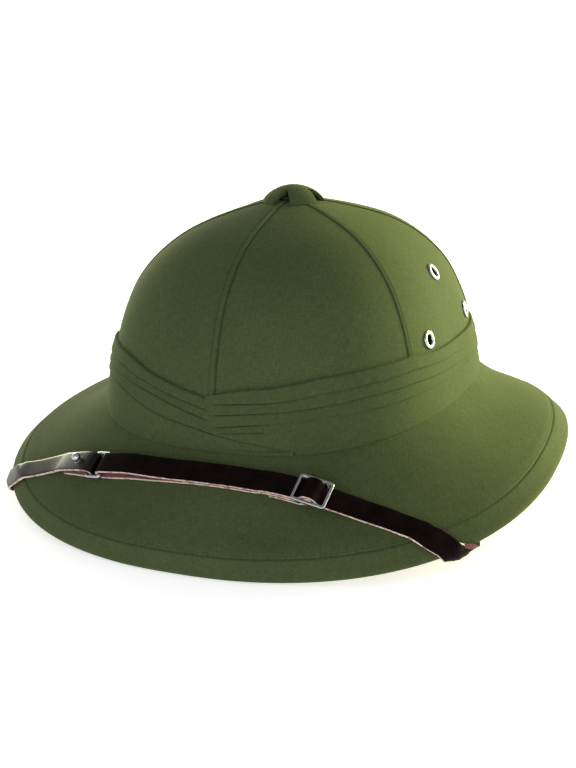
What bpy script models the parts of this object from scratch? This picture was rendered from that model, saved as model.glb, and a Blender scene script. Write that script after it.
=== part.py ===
"""Cloth-covered pith helmet: moulded shell, crown gores, pleated band, vent button, eyelets and chin strap.

Metres, +Z up, the front of the helmet towards -Y, the wearer's left towards +X. The origin lies on the
surface that the rim rests on, midway along the rim.
"""
import math

import bmesh
import bpy
import numpy as np
from mathutils import Matrix, Vector

MM = 0.001

# Clearance between neighbouring pieces
GAP = 0.3 * MM

# Rim of the brim, an egg-shaped ring that rises at the sides
RIM_LENGTH = 321.6 * MM
RIM_WIDTH = 295.4 * MM
RIM_WAIST_FORWARD = 24.3 * MM
RIM_SQUARENESS = 2.18
RIM_EGG = -0.0073
RIM_SIDE_RISE = 23.3 * MM
RIM_REAR_LEAN = 14.3 * MM

# Turned-down edge of the brim, from the stitch line to the rim
LIP_WIDTH = 11.8 * MM
LIP_SIDE_SLOPE = math.radians(43)
LIP_END_SLOPE = math.radians(90)
LIP_CHAMFER = 1.2 * MM

# Crown
CROWN_LENGTH = 215.0 * MM
CROWN_WIDTH = 184.4 * MM
CROWN_CENTRE_FORWARD = 8.2 * MM
CROWN_SQUARENESS = 2.5
CROWN_BASE_HEIGHT = 51.8 * MM
CROWN_FRONT_DIP = 2.8 * MM
CROWN_END_DIP = 2.6 * MM
CROWN_TOP_HEIGHT = 151.3 * MM
CROWN_TOP_LEAN = 1.3 * MM
# height share, radius share
CROWN_PROFILE = [
    (0.000, 1.000),
    (0.220, 0.968),
    (0.450, 0.908),
    (0.680, 0.780),
    (0.860, 0.550),
    (0.965, 0.249),
    (1.000, 0.000),
]

# Walls
CLOTH = 1.0 * MM
SHELL_WALL = 3.0 * MM
SHELL_EDGE_WALL = 1.4 * MM
EDGE_ROOM = 0.6 * MM

# Crown seams, azimuths from the front
SIDE_SEAM_FRONT = math.radians(66)
SIDE_SEAM_BACK = math.radians(114)
GORE_COLUMNS = 8
# steps down the crown from the vent to the base, shares of a quarter turn
CROWN_STEPS = (0.87, 0.72, 0.56, 0.39, 0.21, 0.0)
BRIM_STEPS = (1.0, 1.5, 2.0)

# Vent and top button
VENT_RADIUS = 6.0 * MM
BUTTON_RADIUS = 16.5 * MM
BUTTON_HEIGHT = 8.2 * MM
BUTTON_WALL = 2.0 * MM
BUTTON_LIFT = 1.0 * MM
NOTCH_COUNT = 4
NOTCH_WIDTH = 11.0 * MM
NOTCH_DEPTH = 8.5 * MM
SEAT_FLANGE_RADIUS = 9.0 * MM
SEAT_FLANGE = 1.0 * MM
SEAT_POST_RADIUS = 4.0 * MM
SEAT_ROOM = 0.8 * MM

# Pleated band: azimuth in degrees, height of its top edge as a share of the crown's height
BAND_TOP_LEFT = [
    (0, 0.256),
    (6, 0.282),
    (15, 0.297),
    (30, 0.331),
    (46, 0.332),
    (65, 0.324),
    (76, 0.300),
    (100, 0.286),
    (180, 0.283),
]
BAND_TOP_RIGHT = [
    (0, 0.223),
    (5, 0.255),
    (11, 0.277),
    (20, 0.306),
    (32, 0.342),
    (48, 0.350),
    (65, 0.328),
    (76, 0.300),
    (100, 0.286),
    (180, 0.283),
]
# share of the band's height from its top, thickness as a share of BAND_THICK
BAND_FOLDS = [
    (0.00, 0.60),
    (0.19, 1.00),
    (0.20, 0.65),
    (0.37, 1.00),
    (0.38, 0.65),
    (0.54, 1.00),
    (0.55, 0.70),
    (0.96, 0.75),
]
BAND_THICK = 2.2 * MM
BAND_FOOT = 2.0 * MM
BAND_TONGUE_COLUMNS = 3
BAND_TONGUE_HEIGHT = 7.5 * MM
# extra thickness of the left half where it lies on the tongue, as a share of BAND_THICK
BAND_OVERLAP = 0.2

# Eyelets
EYELET_RADIUS = 4.8 * MM
EYELET_FLANGE = 0.8 * MM
EYELET_BARREL_RADIUS = 3.2 * MM
EYELET_HOLE_RADIUS = 2.2 * MM
# name, azimuth in degrees, height share of the crown
EYELETS = [
    ("front", 76.4, 0.356),
    ("top", 91.2, 0.625),
    ("back", 104.4, 0.356),
]

# Chin strap
STRAP_WIDTH = 11.0 * MM
STRAP_THICK = 1.5 * MM
STRAP_SHARES = (-0.5, -0.25, 0, 0.25, 0.5)
STRAP_REST = 0.5 * MM
STRAP_EDGE_GAP = 1.5 * MM
STRAP_TURN = 20.0 * MM
HEADING_STEP = 6.0 * MM
EDGE_BULGE = 1.8
# azimuth in degrees, place: 0 crown base, 1 stitch line, 2 rim outside, 3 rim inside, 5 crown base underneath
STRAP_ROUTE = [
    (-80.0, 4.72),
    (-71.0, 4.35),
    (-62.0, 3.4),
    (-57.0, 2.4),
    (-52.0, 1.278),
    (-42.3, 0.69),
    (-35.6, 0.565),
    (-28.4, 0.477),
    (-20.0, 0.385),
    (-13.6, 0.33),
    (-0.7, 0.275),
    (10.0, 0.296),
    (20.6, 0.391),
    (29.0, 0.535),
    (35.0, 0.635),
    (41.4, 0.803),
    (48.6, 1.42),
    (52.3, 2.4),
    (58.0, 3.4),
    (68.0, 4.35),
    (78.0, 4.72),
]
# where the route crosses the rim
RIM_AZIMUTH_RIGHT = math.radians(-57.0)
RIM_AZIMUTH_LEFT = math.radians(52.3)

# Metal loop between the straps
LOOP_AZIMUTH = math.radians(-25.9)
LOOP_LENGTH = 10.0 * MM
LOOP_WIRE = 1.8 * MM
LOOP_PLAY = 0.5 * MM
LOOP_SIDE_ROOM = 0.6 * MM
# distances from the loop at which the long strap's two layers close up
BOW_STEPS = (14.0 * MM, 28.0 * MM, 44.0 * MM)

# Slide buckle
BUCKLE_AZIMUTH = math.radians(25.0)
BUCKLE_LENGTH = 17.0 * MM
BUCKLE_BAR_WIDTH = 1.5 * MM
BUCKLE_BAR_THICK = 1.6 * MM
BUCKLE_PIN_RADIUS = 0.6 * MM
BUCKLE_PIN_DROP = 1.0 * MM
BUCKLE_PIN_SLOPE = 46
TAIL_LENGTH = 12.0 * MM

# Ball stud and the short strap's folded end
STUD_AZIMUTH = math.radians(-31.6)
STUD_BALL_RADIUS = 2.3 * MM
STUD_NECK_RADIUS = 1.2 * MM
STUD_COLLAR_RADIUS = 2.2 * MM
STUD_COLLAR = 0.3 * MM
STUD_BALL_LIFT = 0.75
FOLD_BACK = 19.0 * MM

# Hidden rivets
RIVET_HEAD_RADIUS = 3.2 * MM
RIVET_HEAD = 1.0 * MM
RIVET_SHANK_RADIUS = 1.6 * MM
RIVET_BITE = 2.0 * MM
RIVET_END = 7.0 * MM


def signed_power(value, exponent):
    """A power that keeps the sign, for rounded-square outlines."""
    return math.copysign(abs(value) ** exponent, value)


def end_share(phi):
    """How close an azimuth is to the front or back, 1 over the flat stretch that the rim rests on."""
    flat = math.cos(SIDE_SEAM_FRONT / GORE_COLUMNS) ** 2
    return min(1.0, math.cos(phi) ** 2 / flat)


def rim_point(phi):
    """Lower outer edge of the brim."""
    c, s = math.cos(phi), math.sin(phi)
    egg = 1 + RIM_EGG * (math.cos(3 * phi) - c)
    half = RIM_LENGTH / 2 + (-RIM_WAIST_FORWARD if c > 0 else RIM_WAIST_FORWARD)
    x = RIM_WIDTH / 2 * signed_power(s, 2 / RIM_SQUARENESS) * egg
    y = -RIM_WAIST_FORWARD - half * signed_power(c, 2 / RIM_SQUARENESS) * egg
    side = 1 - end_share(phi)
    return np.array([x, y, side * (RIM_SIDE_RISE - RIM_REAR_LEAN * c)])


def crown_base(phi):
    """Line where the crown meets the brim."""
    c, s = math.cos(phi), math.sin(phi)
    x = CROWN_WIDTH / 2 * signed_power(s, 2 / CROWN_SQUARENESS)
    y = -CROWN_CENTRE_FORWARD - CROWN_LENGTH / 2 * signed_power(c, 2 / CROWN_SQUARENESS)
    z = CROWN_BASE_HEIGHT - CROWN_FRONT_DIP * c - CROWN_END_DIP * math.cos(2 * phi)
    return np.array([x, y, z])


def stitch_point(phi):
    """Line of stitches where the brim's edge turns down."""
    rim, base = rim_point(phi), crown_base(phi)
    inward = (base - rim) * (1, 1, 0)
    inward /= np.linalg.norm(inward)
    ends = end_share(phi) ** (1 if math.cos(phi) > 0 else 2)
    slope = LIP_SIDE_SLOPE + (LIP_END_SLOPE - LIP_SIDE_SLOPE) * ends
    return rim + LIP_WIDTH * (math.cos(slope) * inward + math.sin(slope) * np.array([0, 0, 1.0]))


PROFILE_HEIGHTS = np.array([row[0] for row in CROWN_PROFILE])
PROFILE_AREAS = np.array([row[1] ** 2 for row in CROWN_PROFILE])
PROFILE_SLOPES = np.gradient(PROFILE_AREAS, PROFILE_HEIGHTS)


def crown_radius_share(height):
    """Radius of the crown at a height share, smooth through the profile's rows."""
    i = int(np.clip(np.searchsorted(PROFILE_HEIGHTS, height, "right") - 1, 0, len(CROWN_PROFILE) - 2))
    step = PROFILE_HEIGHTS[i + 1] - PROFILE_HEIGHTS[i]
    t = (height - PROFILE_HEIGHTS[i]) / step
    area = (
        PROFILE_AREAS[i] * (2 * t**3 - 3 * t**2 + 1)
        + PROFILE_SLOPES[i] * step * (t**3 - 2 * t**2 + t)
        + PROFILE_AREAS[i + 1] * (3 * t**2 - 2 * t**3)
        + PROFILE_SLOPES[i + 1] * step * (t**3 - t**2)
    )
    return math.sqrt(max(area, 0.0))


def surface(phi, u):
    """Outer cloth surface: u runs 0 to 1 down the crown, to 2 over the brim, to 3 down its turned edge."""
    if u <= 1:
        base = crown_base(phi)
        height = math.sin((1 - u) * math.pi / 2)
        share = crown_radius_share(height)
        centre = -CROWN_CENTRE_FORWARD
        y = centre - CROWN_TOP_LEAN * height + (base[1] - centre) * share
        z = base[2] + (CROWN_TOP_HEIGHT - base[2]) * height
        return np.array([base[0] * share, y, z])
    if u <= 2:
        return crown_base(phi) * (2 - u) + stitch_point(phi) * (u - 1)
    return stitch_point(phi) * (3 - u) + rim_point(phi) * (u - 2)


def unit(vector):
    return vector / np.linalg.norm(vector)


def surface_normal(phi, u, side):
    """Outward normal just above (side -1) or just below (side 1) a point of the surface."""
    du, dphi = 0.004, 0.01
    along = surface(phi, u + du * side) - surface(phi, u)
    mid = u + du * side / 2
    around = surface(phi + dphi, mid) - surface(phi - dphi, mid)
    return unit(np.cross(along * side, around))


def skin(phi, u, depth):
    """Point at a depth below the outer surface, mitred where crown, brim and edge meet."""
    point = surface(phi, u)
    if u <= 0.01 or u >= 2.99:
        return point - depth * surface_normal(phi, u, 1 if u < 1 else -1)
    above, below = surface_normal(phi, u, -1), surface_normal(phi, u, 1)
    return point - depth * (above + below) / (1 + float(above @ below))


def step_share(phi, u, length):
    """Share of u that covers a length at this place."""
    return length / np.linalg.norm(surface(phi, u + 0.002) - surface(phi, u - 0.002)) * 0.004


def hem(phi, crease, depth, side):
    """Point of a cloth edge beside a crease, drawn back from it by the clearance."""
    away = surface(phi, crease + 0.02 * side) - surface(phi, crease)
    return skin(phi, crease, depth) + unit(away) * GAP


def vent_step(phi):
    """Value of u where the crown is one vent radius from its axis."""
    low, high = 0.0, 0.5
    for _ in range(40):
        mid = (low + high) / 2
        point = surface(phi, mid)
        reach = math.hypot(point[0], point[1] + CROWN_CENTRE_FORWARD + CROWN_TOP_LEAN)
        low, high = (mid, high) if reach < VENT_RADIUS else (low, mid)
    return high


def azimuths():
    """Columns of the whole helmet, evenly divided between its seams."""
    seams = [0, SIDE_SEAM_FRONT, SIDE_SEAM_BACK, math.pi]
    seams += [2 * math.pi - seam for seam in seams[-2::-1]]
    columns = []
    for start, end in zip(seams[:-1], seams[1:]):
        columns += [start + (end - start) * i / GORE_COLUMNS for i in range(GORE_COLUMNS)]
    return columns


def make_material(name, colour, metallic, roughness):
    material = bpy.data.materials.new(name)
    material.use_nodes = True
    shader = material.node_tree.nodes["Principled BSDF"]
    shader.inputs["Base Color"].default_value = (*colour, 1)
    shader.inputs["Metallic"].default_value = metallic
    shader.inputs["Roughness"].default_value = roughness
    return material


CLOTH_COLOUR = (0.085, 0.110, 0.045)
SHELL_COLOUR = (0.52, 0.45, 0.33)
LEATHER_COLOUR = (0.020, 0.009, 0.007)
METAL_COLOUR = (0.72, 0.73, 0.74)


def new_object(name, mesh, collection, colour=CLOTH_COLOUR, metallic=0.0, roughness=0.85):
    piece = bpy.data.objects.new(name, mesh)
    collection.objects.link(piece)
    mesh.materials.append(make_material(name, colour, metallic, roughness))
    return piece


def wall(name, collection, fronts, backs, ring, **finish):
    """A wall lofted through sections: fronts[i] and backs[i] are the two faces of section i."""
    bm = bmesh.new()
    rows = [[bm.verts.new(point) for point in list(front) + list(back)[::-1]] for front, back in zip(fronts, backs)]
    around = len(rows[0])
    pairs = list(zip(rows, rows[1:] + rows[:1])) if ring else list(zip(rows[:-1], rows[1:]))
    for first, second in pairs:
        for k in range(around):
            a, b, c, d = first[k], first[(k + 1) % around], second[(k + 1) % around], second[k]
            split = ((a, b, c), (a, c, d)) if a.co.z + c.co.z > b.co.z + d.co.z else ((a, b, d), (b, c, d))
            for corners in split:
                bm.faces.new(corners)
    if not ring:
        for row in (rows[0], rows[-1]):
            for k in range(around // 2 - 1):
                bm.faces.new((row[k], row[k + 1], row[around - 2 - k], row[around - 1 - k]))
    bmesh.ops.recalc_face_normals(bm, faces=bm.faces)
    mesh = bpy.data.meshes.new(name)
    bm.to_mesh(mesh)
    bm.free()
    mesh.shade_smooth()
    mesh.set_sharp_from_angle(angle=math.radians(35))
    return new_object(name, mesh, collection, **finish)


def turned(name, collection, profile, steps, place, **finish):
    """A turned piece from (radius, height) points that run down its outer side."""
    mesh = bpy.data.meshes.new(name)
    edges = [(i, i + 1) for i in range(len(profile) - 1)]
    if profile[0][0] > 0:
        edges.append((len(profile) - 1, 0))
    mesh.from_pydata([(radius, 0, height) for radius, height in profile], edges, [])
    piece = new_object(name, mesh, collection, **finish)
    screw = piece.modifiers.new("Turn", "SCREW")
    screw.steps = screw.render_steps = steps
    screw.use_merge_vertices = True
    screw.merge_threshold = 0.00001
    screw.use_smooth_shade = True
    piece.matrix_world = place
    return piece


def frame_at(point, normal, along=(1, 0, 0)):
    """Placement with local +Z along the normal and local +X close to the given direction."""
    z = Vector(normal).normalized()
    x = (Vector(along) - Vector(along).dot(z) * z).normalized()
    y = z.cross(x)
    place = Matrix((x, y, z)).transposed().to_4x4()
    place.translation = Vector(point)
    return place


def cylinder_cutter(name, cutters, radius, low, high, place):
    bm = bmesh.new()
    shift = Matrix.Translation((0, 0, (low + high) / 2))
    bmesh.ops.create_cone(
        bm, cap_ends=True, segments=12, radius1=radius, radius2=radius, depth=high - low, matrix=shift
    )
    mesh = bpy.data.meshes.new(name)
    bm.to_mesh(mesh)
    bm.free()
    cutter = bpy.data.objects.new(name, mesh)
    cutters.objects.link(cutter)
    cutter.matrix_world = place
    cutter.hide_render = True
    cutter.display_type = "WIRE"
    return cutter


def cut(piece, cutter, operation="DIFFERENCE"):
    modifier = piece.modifiers.new(cutter.name, "BOOLEAN")
    modifier.operation = operation
    modifier.object = cutter
    modifier.solver = "EXACT"


def shell_depths(u):
    """Depth of the shell's outer and inner face, thinner towards the brim's edge."""
    outer = CLOTH + GAP
    thin = min(max((u - BRIM_STEPS[1]) / (2 - BRIM_STEPS[1]), 0), 1)
    return outer, outer + SHELL_WALL + (SHELL_EDGE_WALL - SHELL_WALL) * thin


def edge_thickness():
    """Whole thickness of the brim's bound edge."""
    return 2 * CLOTH + GAP + EDGE_ROOM + SHELL_EDGE_WALL


def build_shell(collection):
    fronts, backs = [], []
    edge = LIP_CHAMFER + CLOTH + GAP
    for phi in azimuths():
        steps = [vent_step(phi)] + [1 - step for step in CROWN_STEPS] + list(BRIM_STEPS[1:])
        for rows, face in ((fronts, 0), (backs, 1)):
            points = [skin(phi, u, shell_depths(u)[face]) for u in steps]
            rows.append(points + [edge_section(phi, shell_depths(2)[face], edge)])
    return wall("shell", collection, fronts, backs, True, colour=SHELL_COLOUR)


def seam_step(phi, u):
    """Angle that covers half the clearance at a seam."""
    around = np.linalg.norm(surface(phi + 0.01, u) - surface(phi - 0.01, u)) / 0.02
    return GAP / 2 / around


def build_gores(collection):
    seams = [("front", 0, SIDE_SEAM_FRONT), ("side", SIDE_SEAM_FRONT, SIDE_SEAM_BACK), ("back", SIDE_SEAM_BACK, math.pi)]
    gores = {}
    for side, sign in (("left", 1), ("right", -1)):
        for place, start, end in seams:
            fronts, backs = [], []
            for i in range(GORE_COLUMNS + 1):
                phi = start + (end - start) * i / GORE_COLUMNS
                inset = 1 if i == 0 else -1 if i == GORE_COLUMNS else 0
                steps = [vent_step(phi)] + [1 - step for step in CROWN_STEPS]
                cells = [(sign * (phi + inset * seam_step(phi, u)), u) for u in steps]
                foot = cells.pop()[0]
                fronts.append([skin(angle, u, 0) for angle, u in cells] + [hem(foot, 1, 0, -1)])
                backs.append([skin(angle, u, CLOTH) for angle, u in cells] + [hem(foot, 1, CLOTH, -1)])
            gores[place, side] = wall(f"gore_{place}_{side}", collection, fronts, backs, False)
    return gores


def build_brim_cover(collection):
    fronts, backs = [], []
    for phi in azimuths():
        for rows, depth in ((fronts, 0), (backs, CLOTH)):
            middle = [skin(phi, u, depth) for u in BRIM_STEPS[1:-1]]
            rows.append([hem(phi, 1, depth, 1)] + middle + [hem(phi, 2, depth, -1)])
    return wall("brim_cover", collection, fronts, backs, True)


def edge_section(phi, depth, lift):
    """Point of the bound edge at a depth, at a distance up the edge from the rim."""
    rim = rim_point(phi)
    up = unit(stitch_point(phi) - rim)
    return rim + up * lift - depth * surface_normal(phi, 3, -1)


def build_brim_binding(collection):
    thick = edge_thickness()
    fronts, backs = [], []
    for phi in azimuths():
        fronts.append([
            skin(phi, 2, 0),
            edge_section(phi, 0, LIP_CHAMFER),
            edge_section(phi, LIP_CHAMFER, 0),
            edge_section(phi, thick - LIP_CHAMFER, 0),
            edge_section(phi, thick, LIP_CHAMFER),
            skin(phi, 2, thick),
        ])
        backs.append([
            skin(phi, 2, CLOTH),
            edge_section(phi, CLOTH, LIP_CHAMFER),
            edge_section(phi, LIP_CHAMFER, CLOTH),
            edge_section(phi, thick - LIP_CHAMFER, CLOTH),
            edge_section(phi, thick - CLOTH, LIP_CHAMFER),
            skin(phi, 2, thick - CLOTH),
        ])
    return wall("brim_binding", collection, fronts, backs, True)


def crown_step_at(phi, z):
    """Value of u on the crown at a height z."""
    base = crown_base(phi)[2]
    return 1 - math.asin(min(max((z - base) / (CROWN_TOP_HEIGHT - base), 0), 1)) / (math.pi / 2)


def band_top(phi):
    table = BAND_TOP_LEFT if phi > 0 else BAND_TOP_RIGHT
    return np.interp(math.degrees(abs(phi)), [row[0] for row in table], [row[1] for row in table])


def crown_height(phi, share):
    base = crown_base(phi)[2]
    return base + (CROWN_TOP_HEIGHT - base) * share


def tongue_angles():
    """Columns of the tongue, on the gore's own columns."""
    return [SIDE_SEAM_FRONT / GORE_COLUMNS * i for i in range(1, BAND_TONGUE_COLUMNS + 1)]


def tongue_height(phi):
    """Top of the plain tongue that carries on past the front crossing."""
    left = 1 - min(max(phi / tongue_angles()[-1], 0), 1)
    return crown_base(phi)[2] + GAP * 2 + BAND_TONGUE_HEIGHT * left


def band_section(phi, top, bottom, proud):
    """The folded band at one azimuth, from the height top down to bottom, or to the brim if bottom is None."""
    foot = crown_base(phi)[2] + GAP if bottom is None else bottom
    front, back = [], []
    for share, thick in BAND_FOLDS:
        u = crown_step_at(phi, top + (foot - top) * share)
        front.append(skin(phi, u, -GAP - BAND_THICK * (thick + proud)))
        back.append(skin(phi, u, -GAP))
    if bottom is None:
        front.append(skin(phi, 1 + step_share(phi, 1.1, BAND_FOOT), -GAP))
        back.append(skin(phi, 1 - step_share(phi, 0.98, GAP), -GAP))
    else:
        u = crown_step_at(phi, foot)
        front.append(skin(phi, u, -GAP - BAND_THICK * (BAND_FOLDS[-1][1] + proud)))
        back.append(skin(phi, u, -GAP))
    return front, back


def build_bands(collection):
    """Two half bands that meet at the back; at the front the left one lies on the right one's tongue."""
    seam = GAP / CROWN_WIDTH
    tongue = tongue_angles()
    clear = tongue[-1] + 2 * seam
    rest = [clear] + [phi for phi in azimuths() if clear < phi < math.pi - seam] + [math.pi - seam]
    sections = []
    for phi in [seam] + tongue + rest:
        under_fold = phi < clear
        bottom = tongue_height(phi) + GAP if under_fold else None
        sections.append(band_section(phi, crown_height(phi, band_top(phi)), bottom, BAND_OVERLAP if under_fold else 0))
    left = wall("band_left", collection, *zip(*sections), False)
    sections = []
    for phi in tongue[::-1] + [seam]:
        sections.append(band_section(phi, tongue_height(phi), None, 0))
    for phi in [-seam] + [-angle for angle in tongue + rest[1:]]:
        sections.append(band_section(phi, crown_height(phi, band_top(phi)), None, 0))
    right = wall("band_right", collection, *zip(*sections), False)
    return left, right


def crown_apex():
    return np.array([0, -CROWN_CENTRE_FORWARD - CROWN_TOP_LEAN, CROWN_TOP_HEIGHT])


def build_button(collection, cutters):
    """A low dome with four notches, on a plain seat that fills the vent hole."""
    place = Matrix.Translation(Vector(crown_apex()))
    rise = BUTTON_HEIGHT - BUTTON_WALL / 2
    outer, inner = [], []
    for i in range(5):
        angle = math.pi / 2 * i / 4
        outer.append((BUTTON_RADIUS * math.sin(angle), -BUTTON_LIFT + rise * math.cos(angle)))
    for i in range(4, -1, -1):
        angle = math.pi / 2 * i / 4
        inner.append((
            (BUTTON_RADIUS - BUTTON_WALL) * math.sin(angle),
            -BUTTON_LIFT + (rise - BUTTON_WALL) * math.cos(angle),
        ))
    button = turned("top_button", collection, outer + inner, 24, place)
    for i in range(NOTCH_COUNT):
        turn = Matrix.Rotation(2 * math.pi * i / NOTCH_COUNT, 4, "Z")
        name = f"notch_cutter_{i + 1}"
        bm = bmesh.new()
        tip, reach = BUTTON_RADIUS - NOTCH_DEPTH, BUTTON_RADIUS * 1.5
        half = NOTCH_WIDTH / 2 * (reach - tip) / NOTCH_DEPTH
        corners = [(0, -tip), (-half, -reach), (half, -reach)]
        low = [bm.verts.new((x, y, -BUTTON_HEIGHT)) for x, y in corners]
        face = bm.faces.new(low)
        grown = bmesh.ops.extrude_face_region(bm, geom=[face])["geom"]
        bmesh.ops.translate(bm, verts=[v for v in grown if isinstance(v, bmesh.types.BMVert)], vec=(0, 0, 2 * BUTTON_HEIGHT))
        bmesh.ops.recalc_face_normals(bm, faces=bm.faces)
        mesh = bpy.data.meshes.new(name)
        bm.to_mesh(mesh)
        bm.free()
        cutter = bpy.data.objects.new(name, mesh)
        cutters.objects.link(cutter)
        cutter.matrix_world = place @ turn
        cutter.hide_render = True
        cutter.display_type = "WIRE"
        cut(button, cutter)
    shank = VENT_RADIUS - SEAT_ROOM
    top = rise - BUTTON_WALL - BUTTON_LIFT - GAP
    low = -(CLOTH + GAP + SHELL_WALL)
    seat = [
        (0, top),
        (SEAT_POST_RADIUS, top),
        (SEAT_POST_RADIUS, GAP + SEAT_FLANGE),
        (SEAT_FLANGE_RADIUS, GAP + SEAT_FLANGE),
        (SEAT_FLANGE_RADIUS, GAP),
        (shank, GAP),
        (shank, low),
        (0, low),
    ]
    return button, turned("button_seat", collection, seat, 12, place, colour=SHELL_COLOUR)


def eyelet_place(azimuth, height, sign):
    phi = math.radians(azimuth) * sign
    u = crown_step_at(phi, crown_height(phi, height))
    return frame_at(surface(phi, u), surface_normal(phi, u, 1))


def build_eyelets(collection, cutters, shell, gores):
    depth = CLOTH + GAP + SHELL_WALL
    for side, sign in (("left", 1), ("right", -1)):
        for name, azimuth, height in EYELETS:
            place = eyelet_place(azimuth, height, sign)
            top = GAP + EYELET_FLANGE
            profile = [
                (EYELET_HOLE_RADIUS, top - EYELET_FLANGE / 3),
                ((EYELET_HOLE_RADIUS + EYELET_RADIUS) / 2, top),
                (EYELET_RADIUS, GAP),
                (EYELET_BARREL_RADIUS, GAP),
                (EYELET_BARREL_RADIUS, -depth),
                (EYELET_HOLE_RADIUS, -depth),
            ]
            turned(f"eyelet_{side}_{name}", collection, profile, 10, place, colour=METAL_COLOUR, metallic=1.0, roughness=0.3)
            hole = EYELET_BARREL_RADIUS + GAP
            cutter = cylinder_cutter(f"eyelet_cutter_{side}_{name}", cutters, hole, -2 * depth, depth, place)
            cut(shell, cutter)
            cut(gores["side", side], cutter)


class StrapRoute:
    """The line that the chin strap follows over the brim, round its edge and under it."""

    def __init__(self):
        angles = np.radians([row[0] for row in STRAP_ROUTE])
        places = [row[1] for row in STRAP_ROUTE]
        reach = [self.reach(phi, v) for phi, v in zip(angles, places)]
        rows = np.array([angles, reach]).T
        dense = []
        for i in range(len(rows) - 1):
            before, after = rows[max(i - 1, 0)], rows[min(i + 2, len(rows) - 1)]
            for k in range(16):
                t = k / 16
                a, b = rows[i], rows[i + 1]
                dense.append(0.5 * (
                    2 * a + (b - before) * t + (2 * before - 5 * a + 4 * b - after) * t**2
                    + (3 * a - before - 3 * b + after) * t**3
                ))
        dense.append(rows[-1])
        self.params = np.array(dense)
        points = np.array([self.outline_point(phi, b) for phi, b in self.params])
        steps = np.linalg.norm(np.diff(points, axis=0), axis=1)
        self.lengths = np.concatenate([[0], np.cumsum(steps)])

    @staticmethod
    def outline(phi):
        """Section of brim and bound edge, from the crown base over the edge to the crown base underneath."""
        thick = edge_thickness()
        start, end = edge_section(phi, 0, LIP_CHAMFER), edge_section(phi, thick, LIP_CHAMFER)
        centre, down = (start + end) / 2, unit(rim_point(phi) - stitch_point(phi))
        arc = []
        for i in range(1, 6):
            angle = math.pi * i / 6
            arc.append(centre + (start - centre) * math.cos(angle) + down * EDGE_BULGE * LIP_CHAMFER * math.sin(angle))
        under = CLOTH + GAP + SHELL_WALL
        points = [skin(phi, 1, 0), skin(phi, 2, 0), start] + arc + [end, skin(phi, 2, thick), skin(phi, 1, under)]
        points = np.array(points)
        lengths = np.concatenate([[0], np.cumsum(np.linalg.norm(np.diff(points, axis=0), axis=1))])
        return points, lengths

    def reach(self, phi, v):
        """Length along the outline at a place of the strap's route table."""
        lengths = self.outline(phi)[1]
        marks = [lengths[0], lengths[1], lengths[2], lengths[8], lengths[9], lengths[10]]
        return float(np.interp(v, range(6), marks))

    def outline_point(self, phi, b):
        points, lengths = self.outline(phi)
        return np.array([np.interp(b, lengths, points[:, k]) for k in range(3)])

    def length_at(self, phi):
        return float(np.interp(phi, self.params[:, 0], self.lengths))

    def param(self, s):
        return np.array([np.interp(s, self.lengths, self.params[:, k]) for k in range(2)])

    def directions(self, phi, b):
        around = (self.outline_point(phi + 0.01, b) - self.outline_point(phi - 0.01, b)) / 0.02
        span = 1.2 * MM
        down = (self.outline_point(phi, b + span) - self.outline_point(phi, b - span)) / (2 * span)
        return around, down, unit(np.cross(down, around))

    def point(self, s, across, height):
        """Point at a distance along the route, to its side and above the surface, with the normal there."""
        here = self.param(s)
        heading = (self.param(s + HEADING_STEP) - self.param(s - HEADING_STEP)) / (2 * HEADING_STEP)
        around, down, normal = self.directions(*here)
        tangent = unit(around * heading[0] + down * heading[1])
        side = np.cross(normal, tangent)
        shift = np.linalg.lstsq(np.array([around, down]).T, side, rcond=None)[0]
        phi, b = here + shift * across
        lift = min(height, layer_height(0))
        return self.outline_point(phi, b) + self.directions(phi, b)[2] * lift + normal * (height - lift)

    def place(self, s, height):
        """Placement on the route with +Z away from the brim and +X along the strap."""
        low, high = self.point(s - HEADING_STEP, 0, height), self.point(s + HEADING_STEP, 0, height)
        normal = self.directions(*self.param(s))[2]
        return frame_at(self.point(s, 0, height), normal, high - low)


def arc_path(centre_s, centre_h, radius, start, end, count):
    """Points of an arc in the strap's own plane, angles in degrees from the route's direction."""
    turns = [math.radians(start + (end - start) * i / count) for i in range(count + 1)]
    return [(centre_s + radius * math.cos(turn), centre_h + radius * math.sin(turn)) for turn in turns]


def spaced(start, end, height, step):
    """Evenly spaced points of a level stretch, both ends included."""
    count = max(1, round(abs(end - start) / step))
    return [(start + (end - start) * i / count, height) for i in range(count + 1)]


def ribbon(name, collection, route, path):
    """A leather strap along a path of (length along the route, height of its middle)."""
    path = np.array(path)
    heading = np.diff(path, axis=0)
    heading /= np.linalg.norm(heading, axis=1)[:, None]
    before = np.vstack([heading[:1], heading])
    after = np.vstack([heading, heading[-1:]])
    normals = np.stack([-(before + after)[:, 1], (before + after)[:, 0]], axis=1)
    normals /= (1 + (before * after).sum(axis=1))[:, None]
    fronts, backs = [], []
    for (s, h), normal in zip(path, normals):
        for rows, half in ((fronts, STRAP_THICK / 2), (backs, -STRAP_THICK / 2)):
            ds, dh = normal * half
            rows.append([route.point(s + ds, STRAP_WIDTH * share, h + dh) for share in STRAP_SHARES])
    return wall(name, collection, fronts, backs, False, colour=LEATHER_COLOUR, roughness=0.4)


def layer_height(layer):
    """Height of a strap layer's middle above the brim, 0 for the lowest."""
    return STRAP_REST + STRAP_THICK / 2 + layer * (STRAP_THICK + GAP)


def hidden_path(route, rim_s, end_s):
    """The strap's hidden stretch, from its end under the brim to the outside of the rim."""
    under = STRAP_EDGE_GAP + STRAP_THICK / 2
    turn = math.copysign(STRAP_TURN, rim_s - end_s)
    path = spaced(end_s, rim_s - turn, under, 12 * MM)
    path += spaced(rim_s - turn, rim_s + turn, under, 2.8 * MM)[1:]
    return path + [(rim_s + turn * 1.5, layer_height(0))]


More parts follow.
